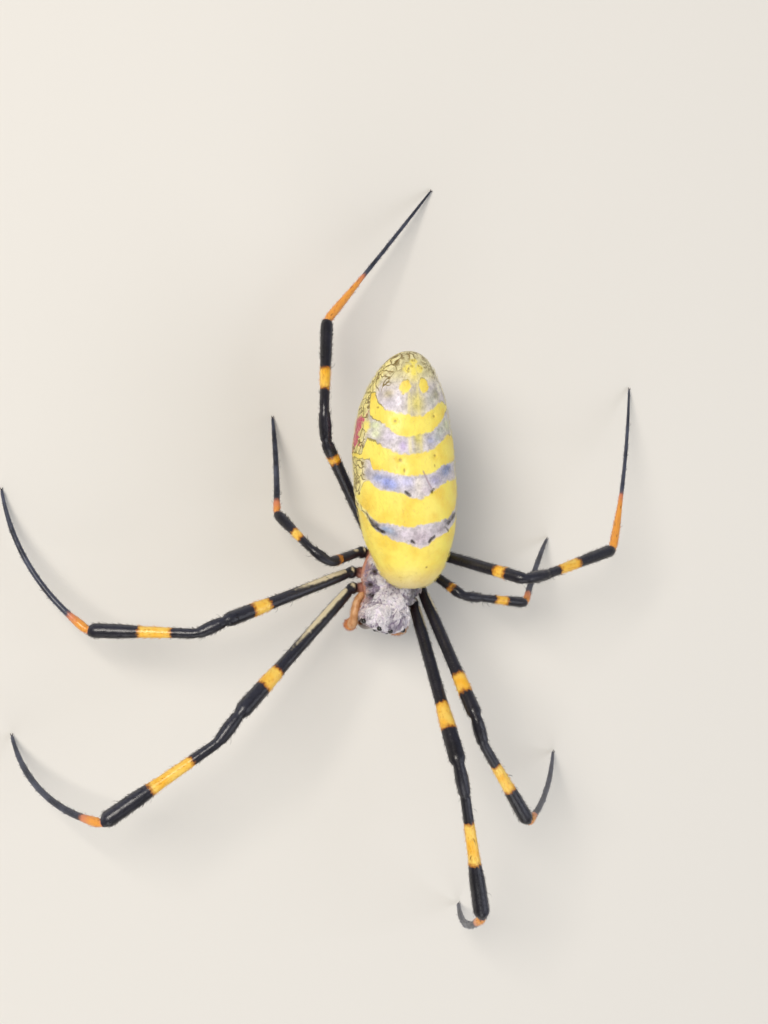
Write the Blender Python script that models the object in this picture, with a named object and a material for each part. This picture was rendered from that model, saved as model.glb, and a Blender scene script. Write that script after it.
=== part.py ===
# A female golden silk orb weaver, life size, as a still model standing on its eight feet.
# Metres, +Z up. The head points to -Y and the spider's left side lies towards +X.
# The feet rest on z = 0, below the middle of the whole model's box.
# Driving sizes are in millimetres and every mesh is turned to metres as it is made.

import math

import bmesh
import bpy
from mathutils import Matrix, Vector
from mathutils.bvhtree import BVHTree
from mathutils.geometry import interpolate_bezier

MM = 0.001
GAP = 0.3                             # between touching pieces
UP = Vector((0, 0, 1))

# Cephalothorax: stations run back from the front of the head, along its middle line
FRONT = Vector((-0.45, -9.91, 0))     # front of the head, seen from above
YAW = 15                              # the head is turned this many degrees to the spider's right
HEAD_WIDTH = 4.1
THORAX_WIDTH = 5.4
CARAPACE_LENGTH = 8.1
COXA_HEIGHT = 6.7                     # the coxae's centre above the floor
STERNUM_HALF = 1.0
STERNUM_FLOOR = 5.7
MARGIN = 7.75                         # height of the carapace's edge
DOME_POINTS = 14                      # steps over the back in each ring of the loft

# Abdomen: an egg-shaped cylinder that overhangs the back of the carapace
ABDOMEN_FRONT = Vector((0.95, -5.9, 12.6))
ABDOMEN_REAR = Vector((0.64, 13.6, 12.7))
ABDOMEN_WIDTH = 8.45
ABDOMEN_HEIGHT = 8.0
FRONT_FULLNESS = 2.3                  # 2 is an ellipse, more is blunter
REAR_FULLNESS = 1.97
ABDOMEN_SAG = 0.9                     # the middle line hangs lowest behind its middle
ABDOMEN_BEND = 0.3                    # and bends this far to the spider's right there
PEDICEL_SHARE = 0.235                 # where the stalk meets the belly
SPINNERET_SHARE = 0.85                # and the spinnerets

# Eyes: side and height of the middle ones, and the side pairs' distance from the middle line
EYE_RADIUS = 0.24
EYE_GAP = 0.25
MIDDLE_EYES = {"front": (0.52, 8.75), "rear": (0.54, 9.72)}
SIDE_EYES = (1.6, 8.85)

# Palps: station, side and height of the points that each one passes through
PALP_PATHS = {
    "left": ((2.65, 1.72, 6.75), (1.9, 2.20, 6.85), (0.7, 2.50, 6.8), (-0.05, 2.27, 6.4),
             (-0.4, 1.98, 5.2), (-0.3, 1.75, 4.1)),
    "right": ((2.65, 1.72, 6.75), (1.9, 2.25, 7.0), (0.6, 2.30, 7.15), (-0.2, 2.15, 6.8),
              (-0.5, 1.95, 5.6), (-0.45, 1.75, 4.2)),
}
PALP_RADII = ((0, 0.28), (0.15, 0.34), (0.45, 0.38), (0.6, 0.46), (0.8, 0.46), (1, 0.22))

# Legs: lengths and radii of each pair, front to back, and how much the black ends swell
PAIRS = {
    1: {"station": 2.85, "reach": 2.8, "root": 3.2, "femur": 15.4, "patella": 2.8, "tibia": 11.3,
        "foot": 14.3, "thick": 0.50, "swell": 1.38},
    2: {"station": 4.1, "reach": 3.2, "root": 4.45, "femur": 12.8, "patella": 2.4, "tibia": 9.1,
        "foot": 14.6, "thick": 0.48, "swell": 1.28},
    3: {"station": 5.95, "reach": 2.8, "root": 5.7, "femur": 4.4, "patella": 1.9, "tibia": 5.0,
        "foot": 9.4, "thick": 0.38, "swell": 1.18},
    4: {"station": 7.35, "reach": 2.4, "root": 6.9, "femur": 9.9, "patella": 2.7, "tibia": 8.3,
        "foot": 16.9, "thick": 0.46, "swell": 1.12},
}

# Pose: heading (degrees from +X towards +Y) and pitch (degrees above level) of each segment
# A foot turns from its first direction to its last
POSE = {
    "left_1": {"femur": (-85, 36), "patella": (-75, -11), "tibia": (-79, -8),
               "foot": ((-83, -61), (26, -73))},
    "right_1": {"femur": (-140, 20), "patella": (-130, 5), "tibia": (-147, -3),
                "foot": ((176, -48), (97, -49))},
    "left_2": {"femur": (-77, 38), "patella": (-74, -3), "tibia": (-57, -13),
               "foot": ((4, -56), (46, -60))},
    "right_2": {"femur": (-165, 17), "patella": (-156, -9), "tibia": (179, -22),
                "foot": ((141, -25), (95, -26))},
    "left_3": {"femur": (-39, 31), "patella": (-10, -15), "tibia": (-10, -19),
               "foot": ((51, -46), (41, -46))},
    "right_3": {"femur": (-172, 37), "patella": (143, -11), "tibia": (127, -48),
                "foot": ((79, -35), (87, -35))},
    "left_4": {"femur": (-16, 44), "patella": (4, -26), "tibia": (11, -25),
               "foot": ((64, -31), (74, -32))},
    "right_4": {"femur": (119, 17), "patella": (96, 9), "tibia": (80, -27),
                "foot": ((44, -22), (46, -22))},
}


# Scene, materials and meshes

for old in list(bpy.data.objects):
    bpy.data.objects.remove(old, do_unlink=True)

model = bpy.data.collections.new("golden_silk_orb_weaver")
cutters = bpy.data.collections.new("cutters")
bpy.context.scene.collection.children.link(model)
bpy.context.scene.collection.children.link(cutters)

spider = bpy.data.objects.new("spider", None)
model.objects.link(spider)


def material(name, colour, roughness):
    mat = bpy.data.materials.new(name)
    mat.use_nodes = True
    shader = mat.node_tree.nodes["Principled BSDF"]
    shader.inputs["Base Color"].default_value = (*colour, 1)
    shader.inputs["Roughness"].default_value = roughness
    shader.inputs["Metallic"].default_value = 0
    return mat


silver_hair = material("silver_hair", (0.55, 0.52, 0.56), 0.7)
yellow_skin = material("yellow_skin", (0.85, 0.68, 0.08), 0.45)
brown_shell = material("brown_shell", (0.10, 0.04, 0.02), 0.35)
amber_shell = material("amber_shell", (0.55, 0.22, 0.08), 0.4)
black_shell = material("black_shell", (0.02, 0.018, 0.025), 0.3)
eye_black = material("eye_black", (0.01, 0.008, 0.008), 0.05)


def add_object(name, mesh, mat):
    mesh.name = name
    mesh.materials.clear()
    mesh.materials.append(mat)
    mesh.shade_smooth()
    mesh.set_sharp_from_angle(angle=math.radians(50))
    obj = bpy.data.objects.new(name, mesh)
    obj.parent = spider
    model.objects.link(obj)
    return obj


# Moves an object to the cutters and uses it to cut or to join another one
def combine(obj, tool, operation):
    model.objects.unlink(tool)
    cutters.objects.link(tool)
    tool.hide_render = True
    tool.display_type = "WIRE"
    boolean = obj.modifiers.new(tool.name, "BOOLEAN")
    boolean.operation = operation
    boolean.object = tool


def mesh_from(bm):
    bmesh.ops.scale(bm, vec=(MM, MM, MM), verts=bm.verts)
    bmesh.ops.recalc_face_normals(bm, faces=bm.faces)
    mesh = bpy.data.meshes.new("mesh")
    bm.to_mesh(mesh)
    bm.free()
    return mesh


# A tube along points with a radius at each, its caps welded
def tube_mesh(points, radii, resolution):
    curve = bpy.data.curves.new("tube", "CURVE")
    curve.dimensions = "3D"
    curve.bevel_depth = MM
    curve.bevel_resolution = resolution
    curve.use_fill_caps = True
    spline = curve.splines.new("POLY")
    spline.points.add(len(points) - 1)
    for target, point, radius in zip(spline.points, points, radii):
        target.co = (*(point * MM), 1)
        target.radius = radius
    guide = bpy.data.objects.new("tube", curve)
    cutters.objects.link(guide)
    ready = guide.evaluated_get(bpy.context.evaluated_depsgraph_get())
    mesh = bpy.data.meshes.new_from_object(ready)
    bpy.data.objects.remove(guide, do_unlink=True)
    bpy.data.curves.remove(curve)
    bm = bmesh.new()
    bm.from_mesh(mesh)
    bmesh.ops.remove_doubles(bm, verts=bm.verts, dist=0.01 * MM)
    bmesh.ops.recalc_face_normals(bm, faces=bm.faces)
    bm.to_mesh(mesh)
    bm.free()
    return mesh


# Turns a short list of stops (share of the length, radius) into evenly read radii
def radius_at(stops, share):
    for (a, ra), (b, rb) in zip(stops, stops[1:]):
        if share <= b:
            mix = (share - a) / (b - a)
            mix = mix * mix * (3 - 2 * mix)
            return ra + (rb - ra) * mix
    return stops[-1][1]


# The stops' own shares, with more between them where they are over a step apart
def ring_shares(stops, step):
    shares = [0.0]
    for (a, _), (b, _) in zip(stops, stops[1:]):
        count = math.ceil((b - a) / step)
        shares += [a + (b - a) * (i + 1) / count for i in range(count)]
    return shares


# A limb segment along a path, its ends rounded over
def limb(name, path, stops, mat, step, resolution=3):
    lengths = [0.0]
    for a, b in zip(path, path[1:]):
        lengths.append(lengths[-1] + (b - a).length)
    total = lengths[-1]
    shoulders = [0.35 * stops[0][1] / total, 1 - 0.35 * stops[-1][1] / total]
    points = []
    radii = []
    for share in sorted(ring_shares(stops, step) + shoulders):
        along = min(share * total, total)
        index = max(i for i in range(len(path) - 1) if lengths[i] <= along + 1e-9)
        mix = (along - lengths[index]) / (lengths[index + 1] - lengths[index])
        points.append(path[index].lerp(path[index + 1], mix))
        radii.append(radius_at(stops, share))
    radii[0] *= 0.72
    radii[-1] *= 0.72
    return add_object(name, tube_mesh(points, radii, resolution), mat)


# A rounded path through points
def smooth_path(points, steps=5):
    ends = [2 * points[0] - points[1], *points, 2 * points[-1] - points[-2]]
    path = []
    for a, b, c, d in zip(ends, ends[1:], ends[2:], ends[3:]):
        path += interpolate_bezier(b, b + (c - a) / 6, c - (d - b) / 6, c, steps + 1)[:-1]
    return path + [points[-1]]


def direction(heading, pitch):
    level = math.cos(math.radians(pitch))
    return Vector((level * math.cos(math.radians(heading)),
                   level * math.sin(math.radians(heading)),
                   math.sin(math.radians(pitch))))


# Half the gap to a neighbour, and more where the two segments bend sharply
def trim(before, after, radius):
    bend = before.angle(after)
    return GAP / 2 + 0.72 * radius * math.tan(bend / 2)


# Cephalothorax

forward = direction(-90 - YAW, 0)
leftward = direction(-YAW, 0)


def body_point(station, side, height):
    return FRONT - forward * station + leftward * side + UP * height


# Rows of: station, half width at the margin, top, margin height, underside height, lower half width
HEAD = HEAD_WIDTH / 2
THORAX = THORAX_WIDTH / 2
SECTIONS = (
    (0.00, 0.32 * HEAD, 9.25, 8.35, 8.05, 0.25 * HEAD),
    (0.12, 0.66 * HEAD, 9.70, 8.00, 7.65, 0.50 * HEAD),
    (0.45, 0.92 * HEAD, 10.05, 7.85, 7.45, 0.70 * HEAD),
    (1.00, 1.02 * HEAD, 10.25, 7.80, 7.40, 0.80 * HEAD),
    (1.55, 1.00 * HEAD, 10.35, 7.78, 7.30, 0.78 * HEAD),
    (2.05, 0.95 * HEAD, 10.30, MARGIN, 6.50, 0.70),
    (2.50, 0.95 * HEAD, 10.15, MARGIN, 6.05, 0.85),
    (3.10, 0.82 * THORAX, 9.95, MARGIN, STERNUM_FLOOR, STERNUM_HALF),
    (3.80, 0.96 * THORAX, 9.75, MARGIN, STERNUM_FLOOR, STERNUM_HALF),
    (4.50, 1.00 * THORAX, 9.55, MARGIN, STERNUM_FLOOR, STERNUM_HALF),
    (5.30, 0.98 * THORAX, 9.35, MARGIN, STERNUM_FLOOR, 0.95),
    (6.00, 0.90 * THORAX, 9.10, MARGIN, STERNUM_FLOOR + 0.1, 0.85),
    (6.70, 0.76 * THORAX, 8.80, MARGIN, STERNUM_FLOOR + 0.3, 0.70),
    (7.30, 0.58 * THORAX, 8.50, MARGIN, 6.30, 0.50),
    (7.80, 0.36 * THORAX, 8.25, 7.70, 7.00, 0.35),
    (CARAPACE_LENGTH, 0.14 * THORAX, 8.00, 7.70, 7.40, 0.20),
)


# One closed ring: a domed top, a thin margin, then in under it and down to the underside
def body_ring(station, half, top, margin, under, low):
    ring = []
    for i in range(DOME_POINTS + 1):
        angle = math.pi * i / DOME_POINTS
        side = half * math.copysign(abs(math.cos(angle)) ** 0.85, math.cos(angle))
        height = margin + (top - margin) * math.sin(angle) ** 0.8
        ring.append(body_point(station, side, height))
    ceiling = margin - GAP
    shoulder = max(under + 0.2, ceiling - 0.5)
    lower = (
        (-0.86 * half, ceiling),
        (-0.5 * (half + low), min(ceiling, 0.5 * (ceiling + under) + 0.5)),
        (-low, shoulder),
        (-low, 0.5 * (under + shoulder)),
        (-0.75 * low, under + 0.08),
        (-0.3 * low, under),
    )
    ring += [body_point(station, side, height) for side, height in lower]
    ring += [body_point(station, -side, height) for side, height in reversed(lower)]
    return ring


def loft(rings):
    bm = bmesh.new()
    loops = [[bm.verts.new(point) for point in ring] for ring in rings]
    count = len(loops[0])
    for first, second in zip(loops, loops[1:]):
        for i in range(count):
            j = (i + 1) % count
            bm.faces.new((first[i], first[j], second[j], second[i]))
    bm.faces.new(loops[0])
    bm.faces.new(loops[-1])
    bmesh.ops.triangulate(bm, faces=bm.faces)
    return mesh_from(bm)


def sphere_mesh(centre, radius, segments=10, rings=6):
    bm = bmesh.new()
    place = Matrix.Translation(centre)
    bmesh.ops.create_uvsphere(bm, u_segments=segments, v_segments=rings, radius=radius, matrix=place)
    return mesh_from(bm)


body = add_object("cephalothorax", loft([body_ring(*row) for row in SECTIONS]), silver_hair)
surface = BVHTree.FromObject(body, bpy.context.evaluated_depsgraph_get())


# The point of the head's surface that a line from inside it meets
def head_surface(side, height, turn):
    inside = body_point(1.6, side * 0.6, height)
    aim = (forward + leftward * turn).normalized()
    hit = surface.ray_cast(inside * MM, aim)[0]
    return hit / MM


def cut_socket(name, centre, radius):
    combine(body, add_object(name, sphere_mesh(centre, radius), eye_black), "DIFFERENCE")


# Four middle eyes stand apart, and the two side eyes of each side touch on one low bump
for side_name, sign in (("left", 1), ("right", -1)):
    for row, (side, height) in MIDDLE_EYES.items():
        centre = head_surface(sign * side, height, sign * 0.12)
        add_object(f"eye_{row}_{side_name}", sphere_mesh(centre, EYE_RADIUS), eye_black)
        cut_socket(f"socket_{row}_{side_name}", centre, EYE_RADIUS + EYE_GAP)

    centre = head_surface(sign * SIDE_EYES[0], SIDE_EYES[1], sign * 0.7)
    shift = UP * (0.75 * EYE_RADIUS)
    pair = add_object(f"eyes_side_{side_name}", sphere_mesh(centre + shift, EYE_RADIUS), eye_black)
    lower_eye = add_object(f"eye_lower_{side_name}", sphere_mesh(centre - shift, EYE_RADIUS), eye_black)
    combine(pair, lower_eye, "UNION")
    cut_socket(f"socket_side_{side_name}", centre, EYE_RADIUS + EYE_GAP + 0.12)


# Jaws, fangs and palps

for side_name, sign in (("left", 1), ("right", -1)):
    jaw = [body_point(0.45, sign * 0.71, 7.05), body_point(0.15, sign * 0.71, 5.8),
           body_point(0.30, sign * 0.70, 4.35)]
    limb(f"chelicera_{side_name}", smooth_path(jaw, 3),
         ((0, 0.47), (0.3, 0.54), (0.7, 0.51), (1, 0.36)), brown_shell, 0.25)
    fang = [body_point(0.36, sign * 0.70, 4.03), body_point(0.48, sign * 0.64, 3.5),
            body_point(0.82, sign * 0.46, 3.2)]
    limb(f"fang_{side_name}", smooth_path(fang), ((0, 0.24), (1, 0.10)), black_shell, 0.25, 2)
    palp = [body_point(station, sign * side, height) for station, side, height in PALP_PATHS[side_name]]
    limb(f"palp_{side_name}", smooth_path(palp), PALP_RADII, amber_shell, 0.08)


# Abdomen, pedicel and spinnerets

abdomen_length = (ABDOMEN_REAR - ABDOMEN_FRONT).length
rearward = (ABDOMEN_REAR - ABDOMEN_FRONT).normalized()
abdomen_side = UP.cross(-rearward).normalized()
abdomen_up = -rearward.cross(abdomen_side)


# A point of the abdomen: share of its length, and an angle from its left side up over the back
def abdomen_point(share, angle):
    offset = abs(2 * share - 1)
    fullness = FRONT_FULLNESS if share < 0.5 else REAR_FULLNESS
    size = (1 - offset ** fullness) ** (1 / fullness)
    curve = math.sin(math.pi * share ** 1.6)
    return (ABDOMEN_FRONT + rearward * (abdomen_length * share)
            - UP * (ABDOMEN_SAG * curve) - abdomen_side * (ABDOMEN_BEND * curve)
            + abdomen_side * (ABDOMEN_WIDTH / 2 * size * math.cos(angle))
            + abdomen_up * (ABDOMEN_HEIGHT / 2 * size * math.sin(angle)))


# The way out of the belly, square to its middle line
def belly_normal(share):
    slope = abdomen_point(share + 0.01, -math.pi / 2) - abdomen_point(share - 0.01, -math.pi / 2)
    return slope.cross(abdomen_side).normalized()


def abdomen_mesh(segments=26, rings=20):
    bm = bmesh.new()
    bmesh.ops.create_uvsphere(bm, u_segments=segments, v_segments=rings, radius=1)
    for vert in bm.verts:
        share = 0.5 * (1 - max(-1, min(1, vert.co.z)))
        angle = math.atan2(vert.co.y, vert.co.x)
        vert.co = abdomen_point(share, angle)
    return mesh_from(bm)


add_object("abdomen", abdomen_mesh(), yellow_skin)

stalk_low = body_point(CARAPACE_LENGTH + GAP, 0, 7.85)
stalk_high = abdomen_point(PEDICEL_SHARE, -math.pi / 2) - UP * GAP
stalk_bend = stalk_low.lerp(stalk_high, 0.5) - UP * 0.15
limb("pedicel", [stalk_low, stalk_bend, stalk_high], ((0, 0.45), (0.5, 0.42), (1, 0.55)), brown_shell, 0.25)

# Three pairs of spinnerets rise from one low base: shift along the belly, spread and length
SPINNERET_ROWS = ((0.38, 0.36, 0.95), (0.0, 0.20, 0.7), (-0.38, 0.34, 1.0))
outward = belly_normal(SPINNERET_SHARE)
toward_rear = abdomen_side.cross(outward)
base_start = abdomen_point(SPINNERET_SHARE, -math.pi / 2) + outward * (GAP + 0.05)
spinnerets = limb("spinnerets", [base_start, base_start + outward * 0.65], ((0, 0.95), (1, 0.72)), amber_shell, 0.5)
for row, (shift, spread, reach) in enumerate(SPINNERET_ROWS):
    for side_name, sign in (("left", 1), ("right", -1)):
        start = base_start + outward * 0.3 + abdomen_side * (sign * spread) + toward_rear * shift
        end = start + (outward + toward_rear * (0.35 - 0.5 * shift)).normalized() * reach
        cone = tube_mesh([start, start.lerp(end, 0.6), end], [0.3, 0.24, 0.1], 2)
        combine(spinnerets, add_object(f"spigot_{row}_{side_name}", cone, amber_shell), "UNION")


# Legs

# The foot bends smoothly from one direction to another over its length
def foot_path(start, first, last, length, lean, steps=12):
    path = [start]
    aim_first = direction(first[0], first[1] + lean)
    aim_last = direction(last[0], last[1] + lean)
    for i in range(steps):
        aim = aim_first.lerp(aim_last, (i + 0.5) / steps).normalized()
        path.append(path[-1] + aim * (length / steps))
    return path


# The small lean that brings the tip of the foot's middle line to the floor
def landing(start, first, last, length):
    low = -25.0
    high = 25.0
    for _ in range(40):
        middle = 0.5 * (low + high)
        if foot_path(start, first, last, length, middle)[-1].z > 0:
            high = middle
        else:
            low = middle
    return middle


# What lies below the floor is cut off, which leaves each foot a small flat
def cut_at_floor(obj):
    bm = bmesh.new()
    bm.from_mesh(obj.data)
    everything = bm.verts[:] + bm.edges[:] + bm.faces[:]
    cut = bmesh.ops.bisect_plane(bm, geom=everything, plane_co=(0, 0, 0), plane_no=(0, 0, -1),
                                 clear_outer=True)
    rim = [edge for edge in cut["geom_cut"] if isinstance(edge, bmesh.types.BMEdge)]
    bmesh.ops.contextual_create(bm, geom=rim)
    bmesh.ops.recalc_face_normals(bm, faces=bm.faces)
    bm.to_mesh(obj.data)
    bm.free()


def build_leg(name, pose):
    side_name, number = name.split("_")
    sign = 1 if side_name == "left" else -1
    pair = PAIRS[int(number)]
    thick = pair["thick"]
    swollen = pair["swell"] * thick
    femur_aim = direction(*pose["femur"])
    patella_aim = direction(*pose["patella"])
    tibia_aim = direction(*pose["tibia"])
    foot_aim = direction(*pose["foot"][0])

    root = body_point(pair["root"], sign * (STERNUM_HALF + GAP + 0.05), COXA_HEIGHT - 0.05)
    hip = body_point(pair["station"], sign * pair["reach"], COXA_HEIGHT)
    knee = hip + femur_aim * pair["femur"]
    shin = knee + patella_aim * pair["patella"]
    ankle = shin + tibia_aim * pair["tibia"]

    coxa_aim = (hip - root).normalized()
    hip_trim = trim(coxa_aim, femur_aim, 0.8 * thick)
    limb(f"leg_{name}_coxa", [root, hip - coxa_aim * hip_trim],
         ((0, 0.42), (0.35, 0.47), (0.72, 0.38), (0.85, 0.44), (1, 0.40)), amber_shell, 0.2)

    knee_trim = trim(femur_aim, patella_aim, thick)
    limb(f"leg_{name}_femur", [hip + femur_aim * hip_trim, knee - femur_aim * knee_trim],
         ((0, 0.85 * thick), (0.12, 1.0 * thick), (0.6, 1.05 * thick), (0.88, swollen),
          (1, 0.95 * thick)), black_shell, 0.17)

    ankle_trim = trim(tibia_aim, foot_aim, 0.8 * thick)
    tibia_path = [knee + patella_aim * knee_trim, shin, ankle - tibia_aim * ankle_trim]
    patella_length = (tibia_path[1] - tibia_path[0]).length
    patella_share = patella_length / (patella_length + (tibia_path[2] - tibia_path[1]).length)
    limb(f"leg_{name}_tibia", tibia_path,
         ((0, 0.92 * thick), (0.6 * patella_share, 1.12 * thick), (patella_share, 0.82 * thick),
          (patella_share + 0.12, 0.84 * thick), (0.55, 1.0 * thick), (0.85, swollen),
          (1, 0.9 * thick)), black_shell, 0.17)

    foot_start = ankle + foot_aim * ankle_trim
    lean = landing(foot_start, *pose["foot"], pair["foot"])
    path = foot_path(foot_start, *pose["foot"], pair["foot"], lean)
    path.append(path[-1] + (path[-1] - path[-2]).normalized() * 0.8)
    foot = limb(f"leg_{name}_foot", path,
                ((0, 0.78 * thick), (0.16, 0.3), (0.5, 0.26), (0.78, 0.24), (1, 0.17)),
                black_shell, 0.09, 2)
    cut_at_floor(foot)


for leg_name, leg_pose in POSE.items():
    build_leg(leg_name, leg_pose)


# The origin goes below the middle of the whole model

corners = [obj.matrix_world @ Vector(corner) for obj in model.objects if obj.type == "MESH"
           for corner in obj.bound_box]
middle_x = 0.5 * (min(p.x for p in corners) + max(p.x for p in corners))
middle_y = 0.5 * (min(p.y for p in corners) + max(p.y for p in corners))
spider.location = (-middle_x, -middle_y, 0)
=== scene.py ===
# Golden silk orb weaver, adult female, life size: the finish of every surface, the camera and the light
# Shapes are worked out in millimetres in the model's own frame and turned to metres as each mesh is made

import math

import bpy
import numpy as np
from mathutils import Matrix, Vector, noise
from mathutils.kdtree import KDTree


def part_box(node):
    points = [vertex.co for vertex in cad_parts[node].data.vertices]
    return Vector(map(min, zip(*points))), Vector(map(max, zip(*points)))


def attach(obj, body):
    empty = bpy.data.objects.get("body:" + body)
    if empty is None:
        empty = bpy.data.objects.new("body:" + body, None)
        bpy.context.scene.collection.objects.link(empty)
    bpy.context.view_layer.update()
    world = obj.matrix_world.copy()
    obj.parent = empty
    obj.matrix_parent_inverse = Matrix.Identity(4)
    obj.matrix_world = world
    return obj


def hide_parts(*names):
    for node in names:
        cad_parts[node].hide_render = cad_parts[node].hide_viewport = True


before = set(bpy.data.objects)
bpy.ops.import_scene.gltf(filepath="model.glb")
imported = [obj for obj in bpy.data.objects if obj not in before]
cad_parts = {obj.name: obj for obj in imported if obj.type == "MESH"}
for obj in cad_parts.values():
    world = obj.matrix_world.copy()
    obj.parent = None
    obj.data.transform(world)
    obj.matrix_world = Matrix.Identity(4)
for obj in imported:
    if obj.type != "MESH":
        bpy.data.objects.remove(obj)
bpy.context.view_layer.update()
millimetre = 0.001
print("frame loaded")


# Small tools

def linearColour(code):
    channels = [int(code[i:i + 2], 16) / 255 for i in (1, 3, 5)]
    linear = [c / 12.92 if c <= 0.04045 else ((c + 0.055) / 1.055) ** 2.4 for c in channels]
    return (*linear, 1.0)


def addNode(material, kind, settings, sockets):
    node = material.node_tree.nodes.new(kind)
    for name, value in settings.items():
        setattr(node, name, value)
    for socket, value in sockets.items():
        if isinstance(value, tuple) and isinstance(value[0], bpy.types.Node):
            material.node_tree.links.new(value[0].outputs[value[1]], node.inputs[socket])
        else:
            node.inputs[socket].default_value = value
    return node


def emptyMaterial(name):
    material = bpy.data.materials.new(name)
    material.use_nodes = True
    material.node_tree.nodes.clear()
    return material


def deselect():
    bpy.ops.object.select_all(action="DESELECT")


def activate(obj):
    deselect()
    obj.select_set(True)
    bpy.context.view_layer.objects.active = obj


def weld(obj):    # merges what lies together, turns the faces out and shades smooth
    activate(obj)
    bpy.ops.object.mode_set(mode="EDIT")
    bpy.ops.mesh.select_all(action="SELECT")
    bpy.ops.mesh.remove_doubles(threshold=0.000002)
    bpy.ops.mesh.normals_make_consistent(inside=False)
    bpy.ops.object.mode_set(mode="OBJECT")
    bpy.ops.object.shade_smooth()


def finish(obj, material, replaced=()):
    obj.data.materials.clear()
    obj.data.materials.append(material)
    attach(obj, "root")
    if replaced:
        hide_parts(*replaced)
    return obj


def setAttribute(obj, name, values):    # one number, or one colour, for each vertex
    values = np.asarray(values, np.float32)
    colour = values.ndim == 2
    attribute = obj.data.attributes.new(name, "FLOAT_COLOR" if colour else "FLOAT", "POINT")
    if colour:
        values = np.concatenate([values[:, :3], np.ones((len(values), 1), np.float32)], 1)
    attribute.data.foreach_set("color" if colour else "value", values.ravel())


def getVertices(obj):    # in millimetres
    flat = np.empty(len(obj.data.vertices) * 3, np.float32)
    obj.data.vertices.foreach_get("co", flat)
    return flat.reshape(-1, 3).astype(float) / millimetre


def setVertices(obj, points):
    obj.data.vertices.foreach_set("co", (np.asarray(points) * millimetre).astype(np.float32).ravel())
    obj.data.update()


def unit(vectors):
    vectors = np.asarray(vectors, float)
    return vectors / np.maximum(np.linalg.norm(vectors, axis=-1, keepdims=True), 1e-12)


def smoothStep(low, high, value):
    share = np.clip((np.asarray(value, float) - low) / (high - low), 0, 1)
    return share * share * (3 - 2 * share)


def blob(x, y, centreX, centreY, radiusX, radiusY):    # 1 in the middle, fading to 0
    return np.exp(-(((x - centreX) / radiusX) ** 2 + ((y - centreY) / radiusY) ** 2))


def direction(heading, pitch):    # degrees from +X towards +Y, and above level
    level = math.cos(math.radians(pitch))
    return np.array([level * math.cos(math.radians(heading)),
                     level * math.sin(math.radians(heading)), math.sin(math.radians(pitch))])


# The abdomen's form

abdomen = {
    "front": np.array([0.95, -5.9, 12.6]), "rear": np.array([0.64, 13.6, 12.7]),
    "width": 8.45, "height": 8.0, "frontFullness": 2.3, "rearFullness": 1.97,
    "sag": 0.9, "bend": 0.3, "segments": 320, "rings": 240,
}
up = np.array([0.0, 0.0, 1.0])
abdomenLength = float(np.linalg.norm(abdomen["rear"] - abdomen["front"]))
rearward = unit(abdomen["rear"] - abdomen["front"])
abdomenSide = unit(np.cross(up, -rearward))
abdomenUp = -np.cross(rearward, abdomenSide)


def abdomenPoints(share, turn, swell=0.0):    # turn: degrees from the back's middle, left positive
    share = np.asarray(share, float)
    offset = np.abs(2 * share - 1)
    fullness = np.where(share < 0.5, abdomen["frontFullness"], abdomen["rearFullness"])
    size = np.clip(1 - offset ** fullness, 0, None) ** (1 / fullness)
    curve = np.sin(math.pi * share ** 1.6)
    angle = math.pi / 2 - np.radians(turn)
    middle = (abdomen["front"] + rearward * (abdomenLength * share)[..., None]
              - up * (abdomen["sag"] * curve)[..., None] - abdomenSide * (abdomen["bend"] * curve)[..., None])
    across = (abdomen["width"] / 2 + swell) * size * np.cos(angle)
    rise = (abdomen["height"] / 2 + swell) * size * np.sin(angle)
    return middle + abdomenSide * across[..., None] + abdomenUp * rise[..., None]


# The whole model is shifted so that its box stands over the origin: the abdomen's own box tells how far
shareGrid, turnGrid = np.meshgrid(np.linspace(0, 1, 401), np.linspace(-180, 180, 361), indexing="ij")
lowCorner = abdomenPoints(shareGrid, turnGrid).reshape(-1, 3).min(0)
shift = np.array(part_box("abdomen")[0]) / millimetre - lowCorner
shift[2] = 0.0
print("shift in mm:", shift.round(3))


# Camera: it looks down on the back as the photograph does, head towards the bottom of the frame

view = {"leanRight": 17.0, "leanRear": 6.0, "distance": 180.0, "target": np.array([0.0, 0.0, 8.0]),
        "frameWidth": 768, "frameHeight": 1024, "millimetresPerPixel": 0.084}
towardCamera = unit(np.array([-math.tan(math.radians(view["leanRight"])),
                              math.tan(math.radians(view["leanRear"])), 1.0]))
cameraUp = unit(np.array([0.0, 1.0, 0.0]) - towardCamera * towardCamera[1])
cameraRight = np.cross(cameraUp, towardCamera)
cameraPlace = (view["target"] + shift + towardCamera * view["distance"]) * millimetre
cameraData = bpy.data.cameras.new("camera")
cameraData.sensor_fit = "VERTICAL"
frameHeight = view["frameHeight"] * view["millimetresPerPixel"]    # seen at the target's distance
cameraData.angle = 2 * math.atan(0.5 * frameHeight / view["distance"])
cameraData.clip_start = 0.01
camera = bpy.data.objects.new("camera", cameraData)
bpy.context.scene.collection.objects.link(camera)
camera.matrix_world = Matrix(((cameraRight[0], cameraUp[0], towardCamera[0], cameraPlace[0]),
                              (cameraRight[1], cameraUp[1], towardCamera[1], cameraPlace[1]),
                              (cameraRight[2], cameraUp[2], towardCamera[2], cameraPlace[2]),
                              (0, 0, 0, 1)))
bpy.context.scene.camera = camera
bpy.context.scene.view_settings.view_transform = "Standard"    # keeps the clear yellow that a film-like curve dulls


# Floor and light

floorSettings = {"size": 3.0, "colour": "#E4E1DB", "roughness": 0.8, "grainMm": 6.0}


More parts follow.
